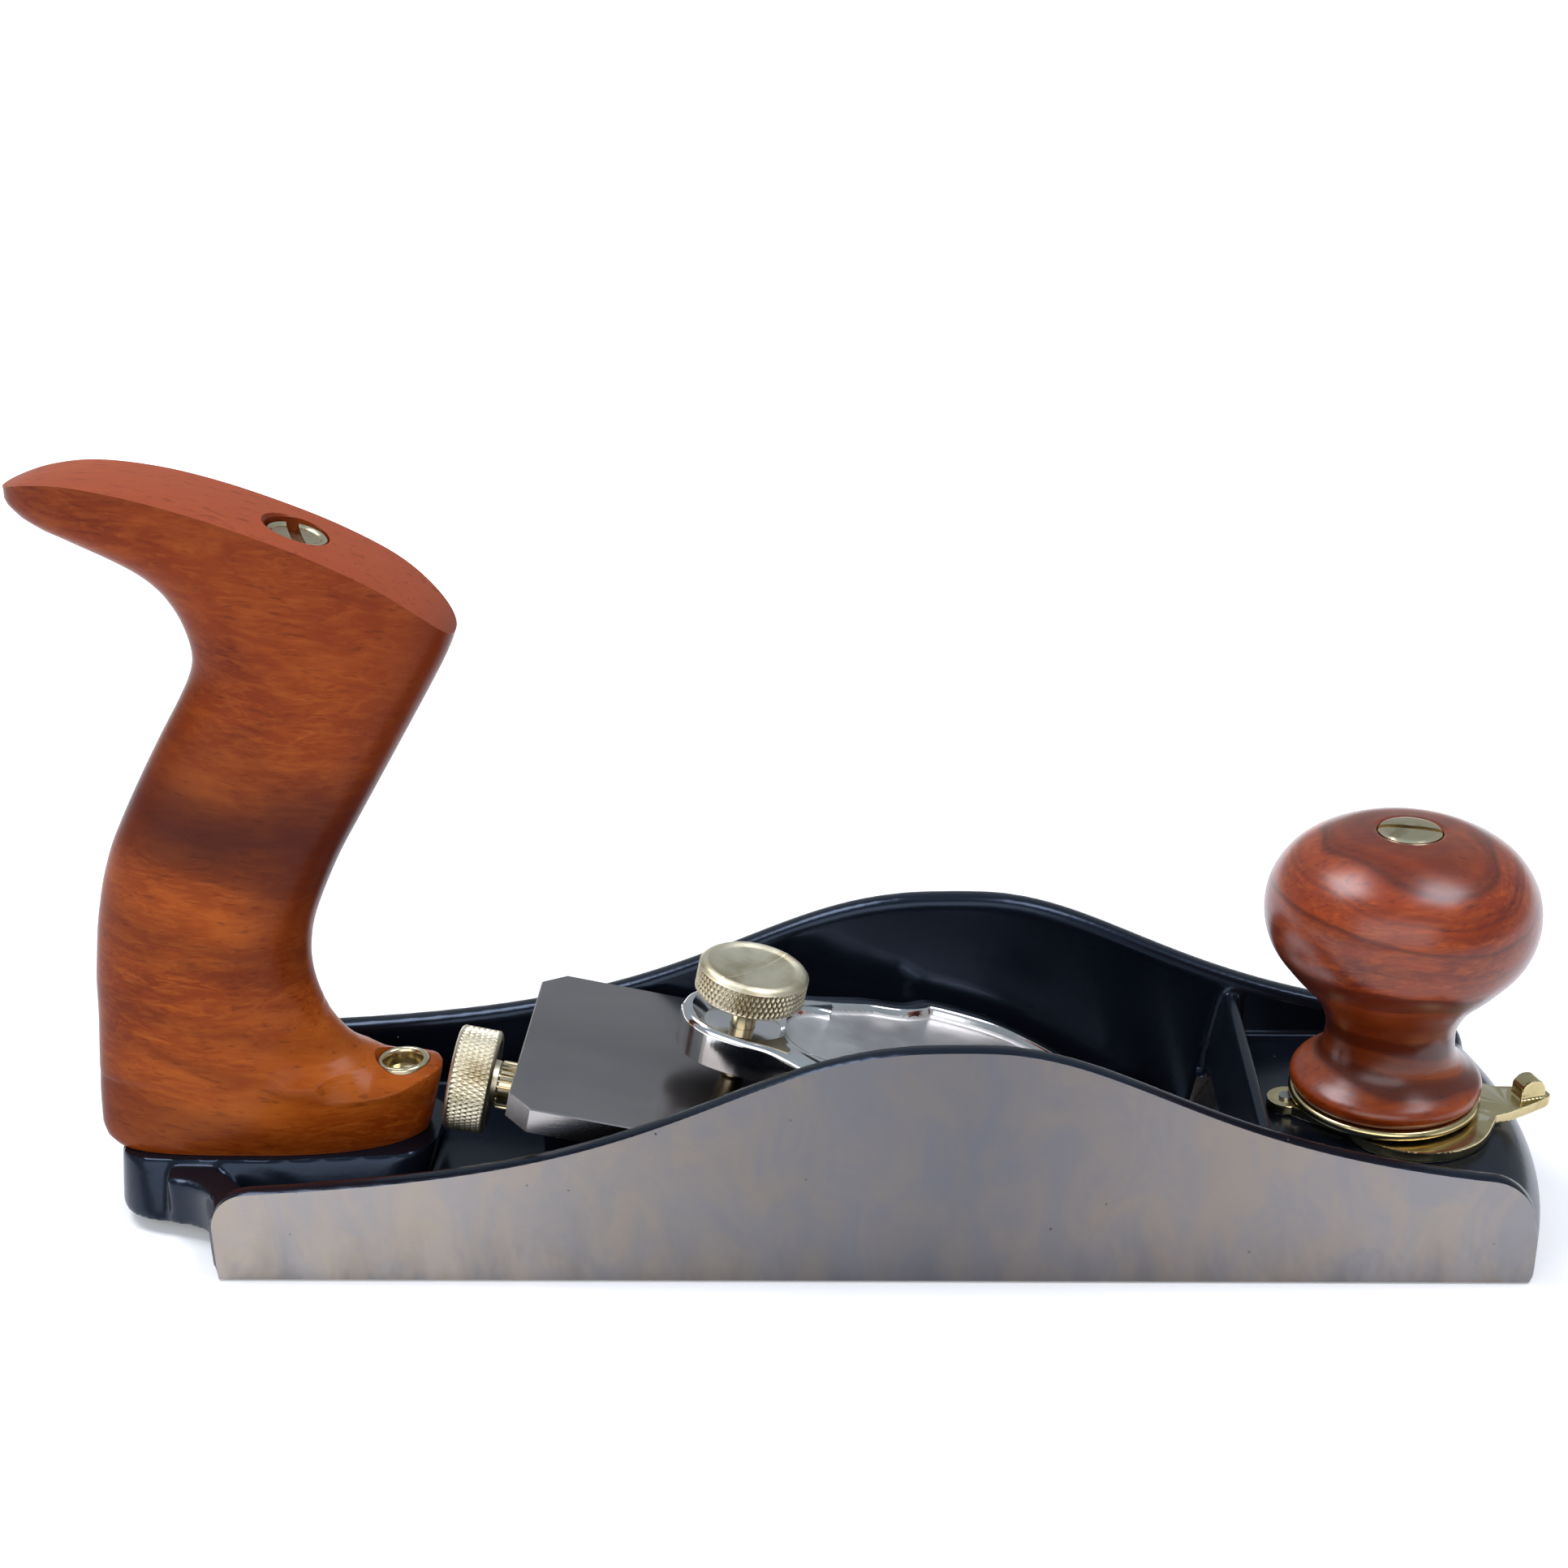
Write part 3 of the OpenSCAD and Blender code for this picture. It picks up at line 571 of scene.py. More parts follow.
def hull_of(points):
    bm = bmesh.new()
    for p in points:
        bm.verts.new(p)
    bmesh.ops.convex_hull(bm, input=bm.verts)
    loose = [v for v in bm.verts if not v.link_faces]
    bmesh.ops.delete(bm, geom=loose, context="VERTS")
    return bm


def joined(bms):
    """One mesh object out of several bmeshes, not merged."""
    out = bmesh.new()
    for b in bms:
        bmesh.ops.recalc_face_normals(b, faces=b.faces)
        m = bpy.data.meshes.new("part")
        b.to_mesh(m)
        b.free()
        out.from_mesh(m)
        bpy.data.meshes.remove(m)
    mesh = bpy.data.meshes.new("joined")
    out.to_mesh(mesh)
    out.free()
    o = bpy.data.objects.new("joined", mesh)
    bpy.context.scene.collection.objects.link(o)
    return o


def cast(bms, voxel, smooth, keep, soft=None, soft_iter=0):
    """Melts overlapping solids into one rounded skin; soft(co) picks points that get wider fillets."""
    o = joined(bms)
    r = o.modifiers.new("r", "REMESH")
    r.mode, r.voxel_size, r.adaptivity = "VOXEL", voxel, 0
    if soft:
        mesh = baked(o)
        o = bpy.data.objects.new("cast", mesh)
        bpy.context.scene.collection.objects.link(o)
        co = np.empty(len(mesh.vertices) * 3)
        mesh.vertices.foreach_get("co", co)
        g = o.vertex_groups.new(name="soft")
        g.add(np.nonzero(soft(co.reshape(-1, 3)))[0].tolist(), 1.0, "REPLACE")
        s = o.modifiers.new("w", "SMOOTH")
        s.factor, s.iterations, s.vertex_group = 0.5, soft_iter, "soft"
    s = o.modifiers.new("s", "SMOOTH")
    s.factor, s.iterations = 0.5, smooth
    d = o.modifiers.new("d", "DECIMATE")
    d.ratio = keep
    mesh = baked(o)
    o = bpy.data.objects.new("cast", mesh)
    bpy.context.scene.collection.objects.link(o)
    return o


def cutter(bm, where=None):
    if where is not None:
        bm.transform(where)
    return temp_obj(bm)


# ---------------------------------------------------------------- casting
def cheek_outline():
    r0, r1, n = 7.0, 9.5, 110
    x0, x1 = -HALF_L + r0, HALF_L - 0.4 - r1
    xs = [x1 + (x0 - x1) * i / n for i in range(1, n)]
    return (arc(x1, cheek_top(x1) - r1, r1, 0, 76, 10) + [(x, cheek_top(x)) for x in xs]
            + arc(x0, cheek_top(x0) - r0, r0, 90, 180, 8))


def cheek(side):
    """Cheek with a rounded inner lip, drawn over-thick outside so the ground face cuts it crisply."""
    base = cheek_outline()
    n = len(base)
    nor = []
    for i in range(n):
        a, b = base[max(i - 1, 0)], base[min(i + 1, n - 1)]
        dx, dz = b[0] - a[0], b[1] - a[1]
        length = math.hypot(dx, dz)
        nor.append((dz / length, -dx / length))
    ri, ro, outer = 2.1, 3.2, HALF_W + 1.9
    sec = [(INNER_W + ri - ri * math.cos(math.radians(a)), ri - ri * math.sin(math.radians(a)))
           for a in range(0, 91, 15)]
    sec += [(outer - ro + ro * math.cos(math.radians(a)), ro - ro * math.sin(math.radians(a)))
            for a in range(90, -1, -15)]
    rows = []
    for y, t in sec:
        pts = [(x - nx * t, y * side, z - nz * t) for (x, z), (nx, nz) in zip(base, nor)]
        rows.append(pts + [(pts[-1][0], y * side, -2), (pts[0][0], y * side, -2)])
    return loft(rows)


def nose():
    """Front of the casting: a bull-nosed profile swept about the centre of the plan curve."""
    half = HALF_W
    r = (half ** 2 + BULGE ** 2) / (2 * BULGE)
    cx = HALF_L + BULGE - r
    prof = [(r - 24, -2), (r - 0.6, -2), (r - 0.6, 0), (r, 1.2)]
    prof += arc(r - 9, DECK_Z - 9.05, 9, 0, 90, 14) + [(r - 24, DECK_Z - 0.05)]
    rows = []
    for i in range(61):
        a = math.radians(-27 + 54 * i / 60)
        rows.append([(cx + q * math.cos(a), q * math.sin(a), z) for q, z in prof])
    return loft(rows)


def heel_wall(side):
    """Wall behind the cheek that curves in to the platform of the handle."""
    x = -HALF_L - 0.6
    r = 10.9
    poly = [(x + 6.1, HALF_W - 0.5), (x, HALF_W - 0.5)] + arc(x - r, 29.4, r, 0, -90, 24)
    poly += arc(x - r, 29.4, r + 6.1, -90, 0, 30)
    return prism([(px, py * side) for px, py in poly], 2.4, PLAT_Z - 0.9)


def heel_root(side):
    """Foot of the heel wall: it runs down to the sole behind the cheek."""
    rows = []
    for z, e in ((-2, 0), (0, 0), (1.2, 0.15), (2.4, 0.45), (3.6, 0.6)):
        x = -HALF_L - e
        rows.append([(x + 8, y * side, z) for y in (31.8, 25)] + [(x, y * side, z) for y in (25, 31.8)])
    return loft(rows)


# Platform under the handle: x, y, radius and height of the circles that it is stretched over.
RIDGE = [(-126.8, 7.7, 9.7, 2.1), (-126.8, 7.7, 9.9, 2.6), (-92, 7.8, 9.4, 2.1), (-92, 7.8, 9.4, 2.6),
         (-130, 6.9, 6.0, PLAT_Z), (-110, 6.7, 6.8, PLAT_Z), (-87, 4.1, 7.2, PLAT_Z)]


def ridge():
    pts = []
    for x, y, r, z in RIDGE:
        for s in (-1, 1):
            pts += [(px, py, z) for px, py in ring_pts(r, 64, x, s * y)]
    return hull_of(pts)


def tail_corner(c):
    """Points of the tail that get wider fillets, given their coordinates."""
    x, y, z = c[:, 0], np.abs(c[:, 1]), c[:, 2]
    return (x < -96) & (z > 3.4) & (y > 13.5) & (y < 31.0) & ((y > 16.5) | (z < 10.4))


def is_ground(f):
    """Whether a face of the casting is machined: cheeks, sole, bed and the inside of the mouth."""
    c, nrm = f.calc_center_median(), f.normal
    on_bed = ON_BED.inverted() @ c
    side = abs(abs(c.y) - HALF_W) < 0.02 and abs(nrm.y) > 0.98
    sole = c.z < 0.02 and nrm.z < -0.98
    bed = abs(on_bed.z + SEAT_GAP) < 0.02 and nrm.dot(Vector((SA, 0, CA))) > 0.98
    inside = (MOUTH_X - 0.5 < c.x < TOE_PLATE_FRONT + 0.1 and abs(c.y) < MOUTH_HALF + 0.05
              and c.z < TOE_PLATE_TOP + 0.05)
    return side or sole or bed or inside


def casting():
    w = INNER_W + 1
    rib = [(68.6, 8.4), (68.6, 24)] + arc(67.2, 24.4, 1.4, 10, 160, 8) + [(63.4, 12), (63.4, 8.4)]
    parts = [cheek(-1), cheek(1), nose(), heel_wall(-1), heel_wall(1), heel_root(-1), heel_root(1), ridge(),
             block(-HALF_L, 8, -w, w, -2, 5),
             block(0, 70, -w, -MOUTH_HALF, -2, 8.4), block(0, 70, MOUTH_HALF, w, -2, 8.4),
             slab([(2, 1), (MOUTH_X + 2, -1), (MOUTH_X + 2, 2), (2, bed_height(2) + 1.2)], -w, w),
             slab([(-58, 1), (-50, 1), (-50, bed_height(-50) + 1), (-58, bed_height(-58) + 1)], -22, 22),
             slab([(-54, 1), (-46.5, 1), (-46.5, 17), (-54, 19)], -3.5, 3.5),
             slab(rib, -w, w),
             block(64.5, 105.5, -w, w, 0, DECK_Z)]
    for y in (-22, 17):
        parts.append(slab([(-56, 1), (6, 1), (6, bed_height(6) + 1), (-56, bed_height(-56) + 1)], y, y + 5))
    boss = rod(6.2, 7, 22.5, 48)
    boss.transform(ON_ADJ)
    parts.append(boss)
    o = cast(parts, 0.62, 3, 0.32, tail_corner, 14)
    stud = arc(KNOB_X + 3.2, 0, 4, -90, 90, 16) + arc(KNOB_X - 2.4, 0, 4, 90, 270, 16)
    bed_w = INNER_W + SEAT_GAP
    cuts = [cutter(block(-200, 200, HALF_W, 60, -20, 90)), cutter(block(-200, 200, -60, -HALF_W, -20, 90)),
            cutter(block(-200, 200, -70, 70, -20, 0)),
            cutter(block(-9, BLADE_L + 0.5, -bed_w, bed_w, -SEAT_GAP, 14), ON_BED),
            cutter(block(MOUTH_X, 63.4, -MOUTH_HALF, MOUTH_HALF, -1, 11)),
            cutter(block(MOUTH_X + 1, TOE_PLATE_FRONT, -MOUTH_HALF, MOUTH_HALF, -1.5, TOE_PLATE_TOP)),
            cutter(prism(stud, 5, 30)),
            cutter(rod(1.35, 9, 29, 32, KNOB_X - PIN_R)),
            cutter(rod(3.05, 2, 32, 48), ON_ADJ),
            cutter(rod(3.5, -7.5, 12.5, 48, CAP_SCREW_S), ON_BED),
            cutter(rod(2.8, -126, -66, 32), ON_ROD),
            cutter(rod(2.3, 3, 23, 32, TOE_ROD_X))]
    bm = obj_to_bm(boolean(o, cuts))
    bm.normal_update()
    for f in bm.faces:
        f.material_index = 1 if is_ground(f) else 0
    return bm


# ---------------------------------------------------------------- rear handle
# Tables of the handle run up its height z: back and front x, half width, and bluntness of front and back.
TOTE_BACK = [(12.4, -138.2), (14, -139.8), (16, -140.3), (22, -140.1), (30, -139.4), (36, -138.8),
             (43, -138.4), (54, -136.7), (62, -134.7), (69, -132.2), (76.4, -128.4), (83.3, -124.6),
             (90, -120.7), (96, -117), (101, -114.4), (104, -113.9), (107, -114.5), (110, -115.3),
             (113, -116.8), (116.5, -119.5), (119.5, -124), (122, -129.6), (125, -136.1), (127, -139.2),
             (129.5, -141.3), (131, -141.2), (136, -141.4)]
TOTE_FRONT = [(12.4, -82.2), (15, -81.4), (20, -80.1), (23.4, -79.2), (25, -79), (25.6, -79.8), (25.9, -82),
              (26.3, -86.5), (27.2, -90.3), (28.7, -92.8), (30.6, -94.9), (32.8, -96.6), (35.3, -98.1),
              (38.5, -99.3), (42, -100.2), (46, -100.6), (50, -100.2), (54.2, -99.2), (60.5, -96.5),
              (67, -93.3), (78.3, -86.6), (89.3, -80.1), (98, -75), (104, -71.6), (108.4, -69.9),
              (116, -68.8), (136, -68.8)]
TOTE_WIDE = [(12.4, 11.7), (16, 12), (24, 11.9), (30, 11.6), (40, 11), (50, 10.5), (80, 10.2), (100, 10.6),
             (115, 10.7), (136, 10.4)]
TOTE_BLUNT = [(12.4, 0.9), (26, 0.9), (28, 1.1), (40, 1.1), (55, 0.9), (80, 0.8), (136, 0.78)]
TOTE_HEEL_BLUNT = [(12.4, 0.55), (20, 0.62), (40, 0.86), (56, 0.86), (66, 0.8), (136, 0.8)]
HORN_TIP = -141.2
# Crest line in x, z from the horn to the front.
CREST = [(-141.9, 131.6), (-136, 133.2), (-128.7, 133.6), (-119, 132.2), (-109.5, 129.7), (-100, 126.4),
         (-90.6, 122.5), (-81.3, 117.6), (-75, 112.6), (-70.6, 107.6), (-69, 103.4)]
# Toe pad along x: its height on the middle line, and how far it has fallen TOE_FALL_Y to the side.
TOE_LINE = sorted((x, z) for z, x in TOTE_FRONT if 25 <= z <= 42) + [(-70, 24.6)]
TOE_CROWN = [(-101, 9.0), (-98.5, 8.1), (-93, 4.4), (-88.3, 3.7), (-82.4, 3.1), (-70, 3.0)]
TOE_FALL_Y, TOE_STEP = 9, 0.25
TOE_ARRIS = 0.7
CREST_SLOT = 22


def eased(z, table, w):
    """Value of a table averaged over a height of 2 w."""
    return sum(lookup(z + w * k / 3, table) for k in range(-3, 4)) / 7


def toe_limit(z, y):
    """Foremost x of the handle at a height: the toe pad falls away to both sides."""
    fall, last = (y / TOE_FALL_Y) ** 2, None
    for i in range(125):
        x = TOE_CROWN[0][0] + TOE_STEP * i
        top = lookup(x, TOE_LINE) - lookup(x, TOE_CROWN) * fall
        if top < z:
            return x - TOE_STEP * (z - top) / max(last - top, 1e-6) if last is not None else x
        last = top
    return None


def soft_min(a, limit, soft):
    """The smaller of two values, rounded off where they are within soft of each other."""
    gap = a - limit
    if gap < -soft:
        return limit + gap
    return limit if gap > soft else limit - (soft - gap) ** 2 / (4 * soft)


def tote_ring(z, n=160):
    """Level outline of the handle: two half superellipses, cut back over the toe pad."""
    w = 0.25 if z < 36 else 0.5 if z > 124 else 2.4
    back, front = eased(z, TOTE_BACK, w), eased(z, TOTE_FRONT, w)
    if z < 12.7:
        back, front = back + 0.25, front - 0.25
    half, mid, r = eased(z, TOTE_WIDE, 2), (back + front) / 2, (front - back) / 2
    out = []
    for i in range(n):
        a = 2 * math.pi * i / n
        c, s = math.cos(a), math.sin(a)
        e = eased(z, TOTE_BLUNT if c > 0 else TOTE_HEEL_BLUNT, 2)
        x, y = mid + r * math.copysign(abs(c) ** e, c), half * math.copysign(abs(s) ** e, s)
        limit = toe_limit(z, y) if c > 0 and 18 < z < 38 else None
        if limit is not None:
            x = soft_min(x, limit, TOE_ARRIS)
        out.append((max(x, HORN_TIP), y, z))
    return out


def above_crest():
    """Everything over the crest, slightly crowned across the handle."""
    top = [(-150, 130)] + catmull(CREST, 6) + [(-60, 100)]
    rows = []
    for i in range(25):
        y = -13 + 26 * i / 24
        drop = 0.25 * (y / 10.4) ** 2
        rows.append([(-160, y, 160)] + [(-160, y, 129 - drop)] + [(x, y, z - 0.02 - drop) for x, z in top]
                    + [(-50, y, 90 - drop), (-50, y, 160)])
    return loft(rows)


def tote():
    zs = [12.5, 12.7, 13.2, 14, 15, 16, 17, 18, 19, 20] + [20.5 + 0.25 * i for i in range(18)]
    zs += [25 + 0.1 * i for i in range(20)] + [27 + 0.25 * i for i in range(20)]
    zs += [32 + 0.5 * i for i in range(12)] + [38 + 1.0 * i for i in range(99)] + [136.5]
    o = temp_obj(loft([tote_ring(z) for z in zs]))
    o = boolean(o, [cutter(above_crest()), cutter(rod(3.2, -130, 10, 48), ON_ROD),
                    cutter(turned_cone(5.35, 5.75, -12, -0.6, 30), ON_ROD),
                    cutter(rod(2.8, 5, 35, 32, TOE_ROD_X)),
                    cutter(rod(4.9, 19.5, 49.5, 64, TOE_ROD_X))])
    return obj_to_bm(o)


def toe_nut():
    return turned([(2.4, 19.8), (4.55, 19.8), (4.75, 20.1), (4.75, 25.7), (4.55, 26.0), (4.2, 26.15),
                   (3.85, 26.1), (3.6, 25.85), (3.45, 25.3), (3.35, 23.2), (2.4, 22.9)], 96)


def slotted(bm, slot, turn):
    """Cuts a screw slot, a block turned by an angle in degrees, out of a head."""
    slot.transform(Matrix.Rotation(math.radians(turn), 4, "Z"))
    return obj_to_bm(boolean(temp_obj(bm), [temp_obj(slot)]))


def crest_nut():
    loop = [(2.9, -11.6), (5.15, -11.6), (5.15, -1.75), (5.0, -1.4), (4.7, -1.22), (4.3, -1.3), (3.9, -1.6),
            (2.0, -1.75), (0.02, -1.78), (0.02, -6.6), (2.9, -6.6)]
    bm = turned(loop, 96)
    bmesh.ops.remove_doubles(bm, verts=bm.verts, dist=0.045)
    return slotted(bm, block(-1.05, 1.05, -8, 8, -3.0, 2), CREST_SLOT)


def turned_cone(r0, r1, z0, z1, z2, n=72):
    """Bore with a slight countersink above z1."""
    return revolve([(0, z0), (r0, z0), (r0, z1), (r1 + (z2 - z1), z2), (0, z2)], n)


# ---------------------------------------------------------------- knob and mouth
KNOB = [(16.2, 0), (16.7, 0.4), (17.3, 1.6), (16.9, 3.2), (14.4, 5.2), (12.3, 7.6), (11.6, 11), (12, 14.6),
        (14.4, 19), (19, 24), (22.8, 29.2), (24.2, 35), (23.1, 40.8), (19.3, 45.9), (12.8, 49.5), (6.6, 50.6)]


def knob():
    p = [(min(r, 24.2), z) for r, z in catmull(KNOB, 6)]
    loop = p + [(6.1, 50.58), (5.8, 50.35), (5.75, 48.1), (4.15, 48.1), (4.15, 41.2), (3.3, 41.2), (3.3, 0)]
    return turned(loop, 160)


def washer():
    bead = arc(16.4, 1.0, 0.98, -90, 90, 14)
    loop = [(3.3, 0.02), (12, 0.02)] + bead + [(15.2, 1.75), (14.6, 1.9), (3.3, 1.9)]
    return turned(loop, 144)


def knob_nut():
    loop = [(3.05, 0), (4, 0), (4, 6.6), (5.45, 6.6), (5.6, 6.8), (5.6, 8.9), (5.3, 9.25), (4.4, 9.45),
            (2.2, 9.6), (0.02, 9.62), (0.02, 2.2), (3.05, 2.2)]
    bm = turned(loop, 96)
    bmesh.ops.remove_doubles(bm, verts=bm.verts, dist=0.045)
    return slotted(bm, block(-8, 8, -0.7, 0.7, 8.2, 12), -12)


def lever():
    """Thin brass lever: discs, plan and finger tab melted together, with the eccentric slot cut out."""
    tail = 0.4 - PIN_R
    slot_r, rise, start, end = 3.1, 2.75, -33.5, 14.5
    plan = [(tail, -3.4), (-8, -11), (17, -12), (19.6, -6.3), (22.1, -5.3), (26.1, -2.8), (30.4, 0.2),
            (31.2, 1.4), (30.6, 3.2), (26, 4.4), (21.3, 4.5), (19.2, 5.8), (14, 9), (0, 9.6), (tail, 4)]
    tab = slab([(-2.5, 0.7), (2.5, 0.7)] + arc(0, 3.2, 2.5, 0, 180, 20), -1.9, 1.9)
    tab.transform(at(27, 1.5, 0) @ Matrix.Rotation(math.radians(17), 4, "Z"))
    parts = [prism(plan, 0, 2), rod(14, 0, 2, 96, 4.4, -5.8), rod(10.2, 0, 2, 72),
             rod(3.9, 0, 2, 48, tail, 0.3), tab]
    o = cast(parts, 0.24, 2, 0.35)

    def polar(offset, a):
        r = PIN_R - rise * math.radians(a) + offset
        return (r * math.cos(math.radians(a)) - PIN_R, r * math.sin(math.radians(a)))

    def slot_end(a, turns):
        x, y = polar(0, a)
        return [(x + slot_r * math.cos(math.radians(a + i)), y + slot_r * math.sin(math.radians(a + i)))
                for i in turns]
    slot = [polar(-slot_r, a) for a in range(int(start), int(end) + 1, 2)] + slot_end(end, range(165, 0, -15))
    slot += [polar(slot_r, a) for a in range(int(end), int(start) - 1, -2)]
    slot += slot_end(start, range(-15, -180, -15))
    return obj_to_bm(boolean(o, [cutter(prism(slot, -5, 9)), cutter(rod(1.36, -5, 9, 32, -PIN_R))]))


# ---------------------------------------------------------------- blade, cap and screws
def blade():
    """Blade in bed coordinates: cut corners behind, a 25 degree edge in front, small breaks all round."""
    t = math.tan(math.radians(25))
    c, w, b = 4.24, BLADE_W / 2, 0.22
    rows = []
    for h, inset in ((0, b), (b, 0), (BLADE_T - b, 0), (BLADE_T, b)):
        f = BLADE_L - h / t - (0 if h else 0.1)
        half = [(inset, 0), (inset, w - c - inset * 0.4), (c + inset * 0.4, w - inset),
                (f - inset, w - inset)]
        full = [(x, -y) for x, y in half[:0:-1]] + half
        rows.append([(x, y, h) for x, y in full])
    slot = arc(94, 0, 6.2, -90, 90, 20) + arc(70, 0, 6.2, 90, 270, 20)
    return obj_to_bm(boolean(temp_obj(loft(rows)), [cutter(prism(slot, -1, 9)),
                                                    cutter(block(24.9, 27.1, -7, 7, -1, 2.3))]))


# Lever cap along the bed: height of the top, half width, height of the underside.
CAP_TOP = [(112, 1), (104, 3.4), (95, 6.6), (86, 9.2), (77, 10.3), (66, 10.7), (54, 11.4), (42, 12.4),
           (26, 12.8)]
CAP_PLAN = [(26.2, 0), (27.4, 4.4), (31, 8.2), (37.5, 10.4), (43.5, 11.4), (50, 14.6), (59, 18.9),
            (66.2, 20.6), (70.8, 24), (76, 24.3)]
CAP_UNDER = [(26, 5.4), (88, 5.2), (102, 2.4), (108, 0), (112, 0)]


def segment_distance(px, py, line):
    """Distance of each point (px, py) from a polyline."""
    best = np.full(px.shape, 1e9)
    for (x0, y0), (x1, y1) in zip(line, line[1:]):
        dx, dy = x1 - x0, y1 - y0
        t = np.clip(((px - x0) * dx + (py - y0) * dy) / (dx * dx + dy * dy + 1e-12), 0, 1)
        best = np.minimum(best, np.hypot(px - x0 - t * dx, py - y0 - t * dy))
    return best


def lever_cap():
    """Top skin as a smooth field over the plan: rounded rim, bead and sunk panel; then drilled."""
    top = sorted(catmull(CAP_TOP, 8))
    plan = sorted(catmull(CAP_PLAN, 8)) + [(112, 24.3)]
    ns, nv = ((330, 161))
    s0, s1 = 26.25, 111.9
    ss = [s0 + (s1 - s0) * (0.55 * (i / ns) + 0.45 * (i / ns) ** 2) if i else s0 for i in range(ns + 1)]
    w = np.array([lookup(s, plan) for s in ss])
    w[0] = 0.55
    v = np.sin(np.linspace(-math.pi / 2, math.pi / 2, nv)) * 0.6 + np.linspace(-1, 1, nv) * 0.4
    S = np.repeat(np.array(ss)[:, None], nv, 1)
    Y = w[:, None] * v[None, :]
    H = np.repeat(np.array([lookup(s, top) for s in ss])[:, None], nv, 1)
    edge = segment_distance(S, np.abs(Y), plan)
    rim = 1.5
    H = H - np.where(edge < rim, rim - np.sqrt(np.maximum(rim ** 2 - (rim - edge) ** 2, 0)), 0)
    # distance inside the sunk panel: the plan set in, closed behind by an arc and in front by a line
    ahead = S - 53.5
    back = np.where(ahead > 0, 99, 9 - np.hypot(ahead, Y))
    front = 112 - 2.2 - S
    inside = np.minimum(np.minimum(edge - 4.3, back), np.maximum(front, -9))
    t = np.clip((inside + 0.5) / 1.6, 0, 1)
    t = t * t * (3 - 2 * t)
    sunk = np.interp(S, [44, 60, 76, 86, 95, 104, 112], [1.2, 1.5, 1.7, 1.7, 1.5, 0.9, 0.25])
    H = H - sunk * t
    bead = np.clip(1 - np.abs(edge - 2.9) / 1.7, 0, 1)
    H = H + 0.16 * (bead * bead * (3 - 2 * bead)) * np.clip((S - 44) / 6, 0, 1) - 0.02
    land = np.clip((8.1 - np.hypot(S - CAP_WHEEL_S, Y)) / 0.9, 0, 1)
    H = H * (1 - land) + np.minimum(H, 10.9) * land
    lo = np.array([lookup(s, CAP_UNDER) for s in ss])
    H = np.maximum(H, lo[:, None] + 0.25)
    bm = bmesh.new()
    tv = [[bm.verts.new((S[i, j], Y[i, j], H[i, j])) for j in range(nv)] for i in range(ns + 1)]
    for i in range(ns):
        for j in range(nv - 1):
            f = bm.faces.new((tv[i][j], tv[i + 1][j], tv[i + 1][j + 1], tv[i][j + 1]))
            f.material_index = 1 if inside[i, j] > 0.5 else 0
    bv = [[bm.verts.new((ss[i], w[i] * k, lo[i])) for k in (-1, 1)] for i in range(ns + 1)]
    for i in range(ns):
        bm.faces.new((bv[i][0], bv[i][1], bv[i + 1][1], bv[i + 1][0]))
        bm.faces.new((tv[i][0], bv[i][0], bv[i + 1][0], tv[i + 1][0]))
        bm.faces.new((tv[i][-1], tv[i + 1][-1], bv[i + 1][1], bv[i][1]))
    ends = [bm.faces.new([bv[0][0]] + [x for x in tv[0]] + [bv[0][1]]),
            bm.faces.new([bv[ns][1]] + [x for x in tv[ns][::-1]] + [bv[ns][0]])]
    bmesh.ops.triangulate(bm, faces=ends)
    key_s, key_r, neck_r = 93.5, 6.1, 3.8
    joint = CAP_SCREW_S + 4.7
    key = (arc(key_s, 0, key_r, -141.5, 141.5, 32) + [(joint, neck_r)]
           + arc(CAP_SCREW_S, 0, neck_r, 90, 270, 20) + [(joint, -neck_r)])
    seat = arc(key_s, 0, key_r, -90, 90, 24) + arc(CAP_SCREW_S, 0, key_r, 90, 270, 24)
    land_bore = turned_cone(7.0, 7.6, 10.2, 10.35, 18, 96)
    o = boolean(temp_obj(bm), [cutter(prism(key, -3, 20)), cutter(prism(seat, 7, 20)),
                               cutter(rod(2.27, -3, 20, 48, CAP_WHEEL_S)),
                               cutter(land_bore, at(CAP_WHEEL_S, 0, 0))])
    return obj_to_bm(o)


def cap_screw():
    loop = [(0, -7.3), (3.45, -7.3), (3.45, 11.95), (5.4, 11.95), (5.6, 12.15), (5.6, 13.8), (5.3, 14.15),
            (4.6, 14.4), (2.6, 14.52), (0, 14.55)]
    return slotted(revolve(loop), block(-10, 10, -1.2 / 2, 1.2 / 2, 13.4, 18), 90)


